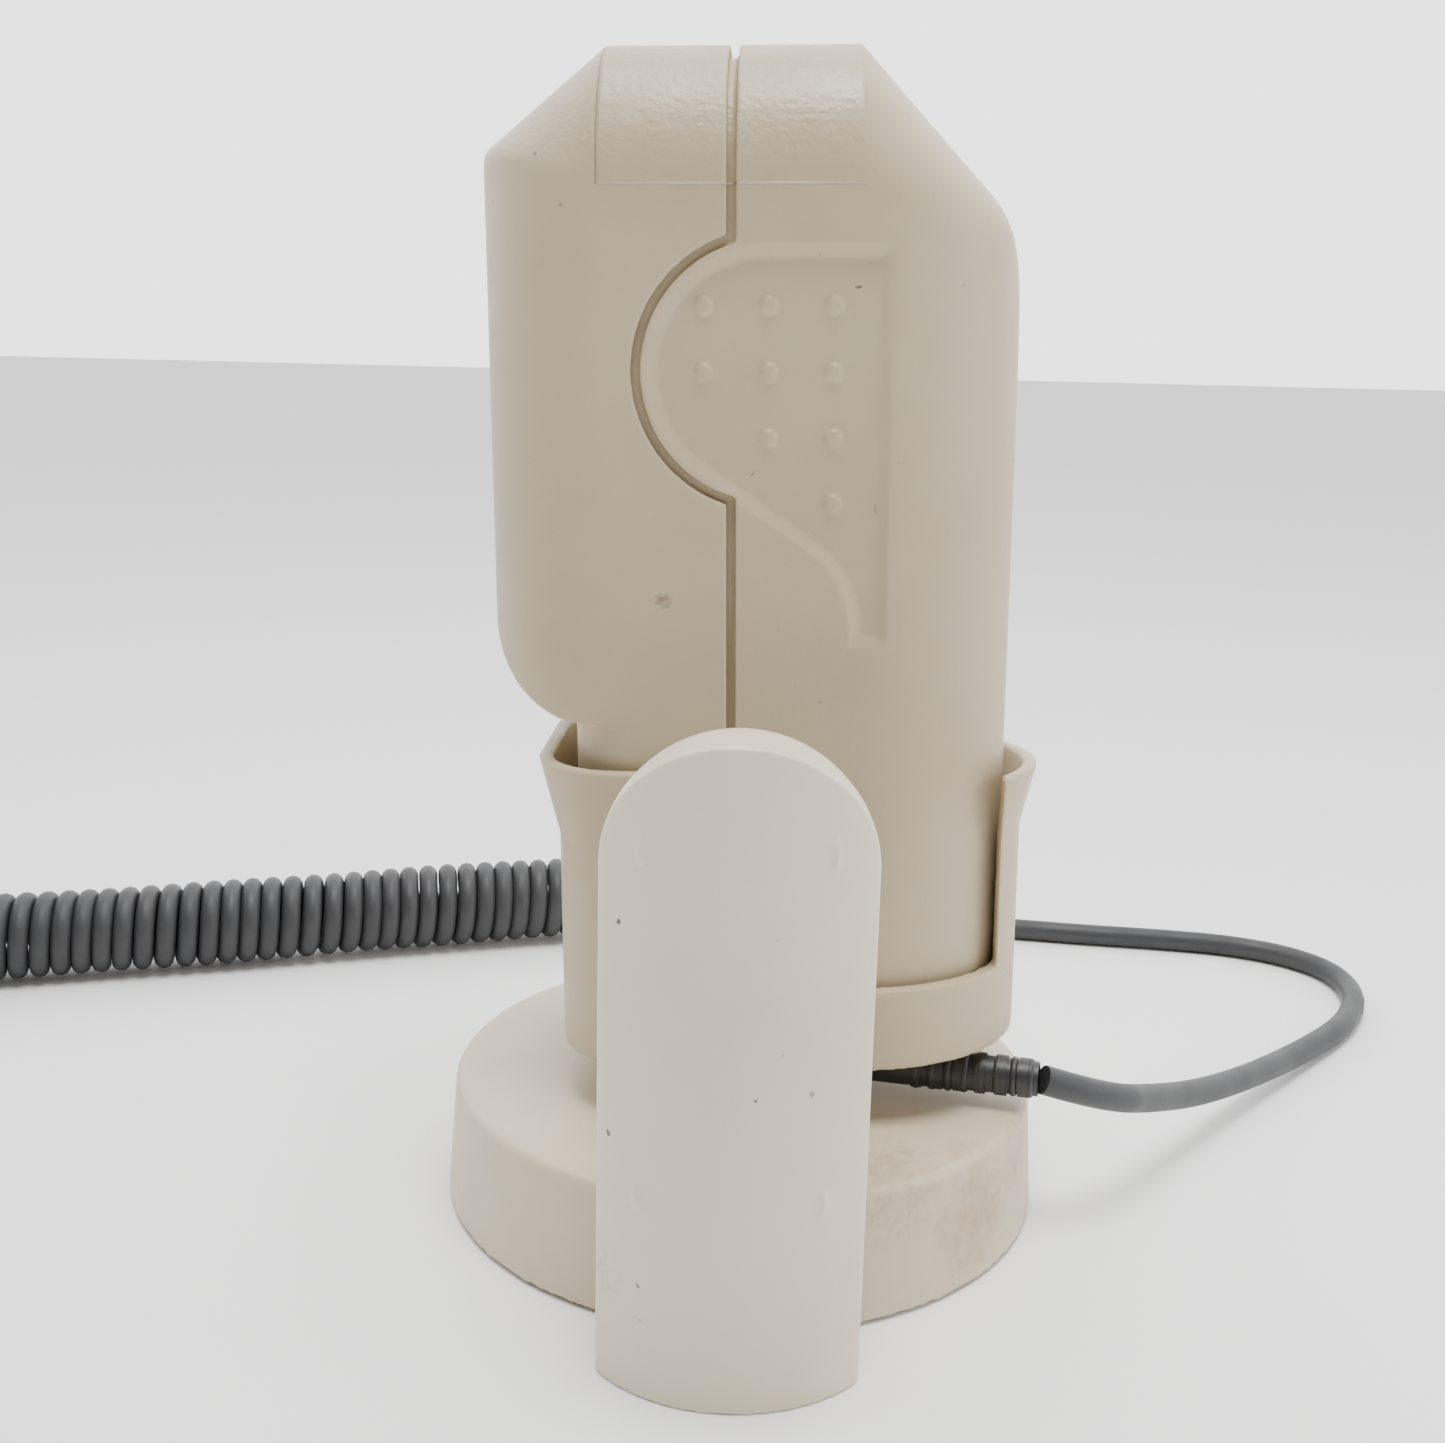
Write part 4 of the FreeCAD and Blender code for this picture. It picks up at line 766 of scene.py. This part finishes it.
def weave_tree():
    """A row of wires as long as the circle is wide, and the same row turned a quarter behind it."""
    tree, gin, out, sockets = new_geometry_tree(
        "round_weave",
        [
            ("Wires", "NodeSocketInt", 31),
            ("Radius", "NodeSocketFloat", 0.02),
            ("Wire Radius", "NodeSocketFloat", 0.0002),
            ("Material", "NodeSocketMaterial", None),
        ],
    )
    row = tree.nodes.new("GeometryNodeMeshLine")
    row.mode = "END_POINTS"
    row.count_mode = "TOTAL"
    tree.links.new(gin.outputs["Wires"], row.inputs["Count"])
    reach = maths(tree, "MULTIPLY", gin.outputs["Radius"], WEAVE_INSET)
    ends = (("Start Location", maths(tree, "MULTIPLY", reach, -1.0)), ("Offset", reach))
    for socket, value in ends:
        spot = tree.nodes.new("ShaderNodeCombineXYZ")
        tree.links.new(value, spot.inputs["X"])
        tree.links.new(spot.outputs[0], row.inputs[socket])
    wire = tree.nodes.new("GeometryNodeMeshCylinder")
    wire.inputs["Vertices"].default_value = 8
    wire.inputs["Depth"].default_value = 1.0
    tree.links.new(gin.outputs["Wire Radius"], wire.inputs["Radius"])
    across = tree.nodes.new("ShaderNodeSeparateXYZ")
    tree.links.new(tree.nodes.new("GeometryNodeInputPosition").outputs[0], across.inputs[0])
    squared = maths(tree, "MULTIPLY", gin.outputs["Radius"], gin.outputs["Radius"])
    inside = maths(tree, "MULTIPLY", across.outputs["X"], across.outputs["X"])
    chord = maths(tree, "SQRT", maths(tree, "SUBTRACT", squared, inside))
    size = tree.nodes.new("ShaderNodeCombineXYZ")
    size.inputs["X"].default_value = 1.0
    size.inputs["Y"].default_value = 1.0
    tree.links.new(maths(tree, "MULTIPLY", chord, 2.0), size.inputs["Z"])
    strung = tree.nodes.new("GeometryNodeInstanceOnPoints")
    tree.links.new(row.outputs["Mesh"], strung.inputs["Points"])
    tree.links.new(wire.outputs["Mesh"], strung.inputs["Instance"])
    tree.links.new(size.outputs[0], strung.inputs["Scale"])
    turned = tree.nodes.new("GeometryNodeTransform")
    turned.inputs["Rotation"].default_value = (0, math.radians(90), 0)
    behind = tree.nodes.new("ShaderNodeCombineXYZ")
    tree.links.new(maths(tree, "MULTIPLY", gin.outputs["Wire Radius"], LAYER_GAP), behind.inputs["Y"])
    tree.links.new(behind.outputs[0], turned.inputs["Translation"])
    tree.links.new(strung.outputs[0], turned.inputs["Geometry"])
    both = tree.nodes.new("GeometryNodeJoinGeometry")
    tree.links.new(strung.outputs[0], both.inputs[0])
    tree.links.new(turned.outputs[0], both.inputs[0])
    tree.links.new(both.outputs[0], out)
    return tree, sockets


FILTER_MIDDLE = (4.4, 24.0, 181.5)
weave, weave_sockets = weave_tree()
weave_sizes = {
    "Wires": 33,
    "Radius": 20.3 * MM,
    "Wire Radius": 0.22 * MM,
    "Material": FINISHES["filter_mesh"],
}
filter_weave = made_by("lint_weave", weave, weave_sockets, weave_sizes)
filter_weave.data.transform(LEAN @ Matrix.Translation(Vector(FILTER_MIDDLE) * MM))
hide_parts("lint_filter")
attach(filter_weave, "dryer")


# %% Rings of the strain relief
ROUND_STEPS = {"Ring Radius": 36, "Bead Radius": 12}


def rings_tree():
    """Rings in a row, each a little smaller than the one before."""
    tree, gin, out, sockets = new_geometry_tree(
        "shrinking_rings",
        [
            ("Rings", "NodeSocketInt", 8),
            ("Length", "NodeSocketFloat", 0.03),
            ("Ring Radius", "NodeSocketFloat", 0.004),
            ("Bead Radius", "NodeSocketFloat", 0.001),
            ("Shrink", "NodeSocketFloat", 0.2),
            ("Material", "NodeSocketMaterial", None),
        ],
    )
    row = tree.nodes.new("GeometryNodeMeshLine")
    row.mode = "END_POINTS"
    row.count_mode = "TOTAL"
    tree.links.new(gin.outputs["Rings"], row.inputs["Count"])
    far = tree.nodes.new("ShaderNodeCombineXYZ")
    tree.links.new(gin.outputs["Length"], far.inputs["Z"])
    tree.links.new(far.outputs[0], row.inputs["Offset"])
    circles = []
    for radius, steps in ROUND_STEPS.items():
        circle = tree.nodes.new("GeometryNodeCurvePrimitiveCircle")
        circle.inputs["Resolution"].default_value = steps
        tree.links.new(gin.outputs[radius], circle.inputs["Radius"])
        circles.append(circle.outputs["Curve"])
    ring = tree.nodes.new("GeometryNodeCurveToMesh")
    tree.links.new(circles[0], ring.inputs["Curve"])
    tree.links.new(circles[1], ring.inputs["Profile Curve"])
    number = tree.nodes.new("GeometryNodeInputIndex").outputs[0]
    share = maths(tree, "DIVIDE", number, gin.outputs["Rings"])
    size = maths(tree, "SUBTRACT", 1.0, maths(tree, "MULTIPLY", share, gin.outputs["Shrink"]))
    strung = tree.nodes.new("GeometryNodeInstanceOnPoints")
    tree.links.new(row.outputs["Mesh"], strung.inputs["Points"])
    tree.links.new(ring.outputs["Mesh"], strung.inputs["Instance"])
    tree.links.new(size, strung.inputs["Scale"])
    tree.links.new(strung.outputs[0], out)
    return tree, sockets


FIRST_RING = 20 * MM
rings, rings_sockets = rings_tree()
rings_sizes = {
    "Rings": 8,
    "Length": 24.5 * MM,
    "Ring Radius": 3.95 * MM,
    "Bead Radius": 0.95 * MM,
    "Shrink": 0.16,
    "Material": FINISHES["guard_plastic"],
}
guard_rings = made_by("guard_rings", rings, rings_sockets, rings_sizes)
aim = GUARD_ALONG.to_track_quat("Z", "Y").to_matrix().to_4x4()
guard_rings.data.transform(LEAN @ Matrix.Translation(GUARD_CORNER + GUARD_ALONG * FIRST_RING) @ aim)
guard_rings.data.shade_smooth()
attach(guard_rings, "holder")

# %% [markdown]
# A moulded shell has no knife edges: every rim and groove is slightly round. The casing, cup, cover
# and base are remeshed in small cubes and smoothed, which rounds each edge by about the cube's size,
# and then thinned. Leaning parts are brought upright first, because cubes that line up with the faces
# leave them flat. The casing's two upper corners are smoothed for longer, as they are rounder.

# %% Soften the mouldings
WELD = 0.01 * MM
# where the rounder corners begin, and over how many millimetres they come in
RIGHT_CORNER, RIGHT_RUN = 26 * MM, 8 * MM
LEFT_CORNER, LEFT_RUN = -31 * MM, 12 * MM
CORNER_LOW, CORNER_RISE = 184 * MM, 14 * MM


def upright_mesh(node, leans):
    """A CAD part's mesh, welded and brought upright."""
    work = bmesh.new()
    work.from_mesh(frame["nodes"][node].data)
    bmesh.ops.remove_doubles(work, verts=work.verts, dist=WELD)
    if leans:
        bmesh.ops.transform(work, matrix=LEAN.inverted(), verts=work.verts)
    mesh = bpy.data.meshes.new(node + "_work")
    work.to_mesh(mesh)
    work.free()
    return mesh


def in_cubes(mesh, voxel):
    """The mesh rebuilt in small cubes."""
    helper = helper_for(mesh)
    remesh = helper.modifiers.new("cubes", "REMESH")
    remesh.mode = "VOXEL"
    remesh.voxel_size = voxel
    return applied(helper)


def mark_shoulders(helper):
    """A vertex group that grows towards the casing's two upper corners."""
    group = helper.vertex_groups.new(name="shoulders")
    for vertex in helper.data.vertices:
        rightwards = (vertex.co.x - RIGHT_CORNER) / RIGHT_RUN
        leftwards = (LEFT_CORNER - vertex.co.x) / LEFT_RUN
        upwards = (vertex.co.z - CORNER_LOW) / CORNER_RISE
        weight = min(1.0, max(rightwards, leftwards), upwards)
        if weight > 0:
            group.add([vertex.index], weight, "REPLACE")


def soften(node, body, voxel, passes, keep, leans=True, shoulder_passes=0):
    """A soft-edged copy of a CAD part that stands for it."""
    helper = helper_for(in_cubes(upright_mesh(node, leans), voxel))
    smooth = helper.modifiers.new("smooth", "SMOOTH")
    smooth.iterations = passes
    if shoulder_passes:
        mark_shoulders(helper)
        rounder = helper.modifiers.new("shoulders", "SMOOTH")
        rounder.iterations = shoulder_passes
        rounder.vertex_group = "shoulders"
    thin = helper.modifiers.new("thin", "DECIMATE")
    thin.ratio = keep
    made = applied(helper)
    if leans:
        made.transform(LEAN)
    made.shade_smooth()
    piece = bpy.data.objects.new(node + "_moulding", made)
    bpy.context.scene.collection.objects.link(piece)
    dress(piece, SLOT_OF[node], MOULDING_FINISH[node])
    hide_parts(node)
    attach(piece, body)
    print(piece.name, len(made.polygons), "faces")


# node, body, voxel, smoothing passes, share of the faces kept
soften("left_shell", "dryer", 0.55 * MM, 4, 0.42, shoulder_passes=60)
soften("right_shell", "dryer", 0.42 * MM, 2, 0.25, shoulder_passes=600)
soften("holder_cup", "holder", 0.6 * MM, 4, 0.5)
soften("upright_cover", "stand", 0.6 * MM, 4, 0.5, leans=False)
soften("base_shell", "stand", 0.8 * MM, 4, 0.5, leans=False)

# %% [markdown]
# A plain pale floor and a bright surround behind. The surround is dimmer on the camera's side, so the
# fronts fall into a soft shade while the tops and the edges that turn to the wall stay bright.

# %% Floor
FLOOR_HALF = 6.0
PALE = (0.93, 0.93, 0.93, 1)

floor_mesh = bpy.data.meshes.new("floor")
floor_edit = bmesh.new()
bmesh.ops.create_grid(floor_edit, x_segments=1, y_segments=1, size=FLOOR_HALF)
floor_edit.to_mesh(floor_mesh)
floor_edit.free()
floor = bpy.data.objects.new("floor", floor_mesh)
bpy.context.scene.collection.objects.link(floor)
floor_material, _, floor_shader = new_material("pale_floor")
floor_shader.inputs["Base Color"].default_value = PALE
floor_shader.inputs["Roughness"].default_value = 0.9
floor.data.materials.append(floor_material)
print("floor:", 2 * FLOOR_HALF, "m across")

# %% Surround
FRONT_GLOW = 0.22
WALL_GLOW = 2.9
DIM_UNTIL = -0.4
BRIGHT_FROM = 0.6

world = bpy.data.worlds.new("studio")
world.use_nodes = True
surround = world.node_tree
direction = surround.nodes.new("ShaderNodeTexCoord").outputs["Generated"]
split = surround.nodes.new("ShaderNodeSeparateXYZ")
surround.links.new(direction, split.inputs[0])
backwards = spread_out(surround, split.outputs["Y"], DIM_UNTIL, BRIGHT_FROM, FRONT_GLOW, WALL_GLOW)
surround.nodes["Background"].inputs["Color"].default_value = (1, 1, 1, 1)
surround.links.new(backwards, surround.nodes["Background"].inputs["Strength"])
bpy.context.scene.world = world
print("surround:", FRONT_GLOW, "in front,", WALL_GLOW, "behind")


# %% Soft lights
def soft_light(name, at, aim, size, power):
    """A square area light that looks from one place to another."""
    data = bpy.data.lights.new(name, "AREA")
    data.size = size
    data.energy = power
    light = bpy.data.objects.new(name, data)
    light.location = at
    light.rotation_mode = "QUATERNION"
    light.rotation_quaternion = (Vector(aim) - Vector(at)).to_track_quat("-Z", "Y")
    bpy.context.scene.collection.objects.link(light)


soft_light("top_softbox", (0.05, -0.15, 1.2), (0, 0, 0.1), 0.5, 16.0)
soft_light("right_softbox", (1.1, -0.3, 0.5), (0, 0, 0.12), 0.5, 4.0)
print("lights:", len(bpy.data.lights))
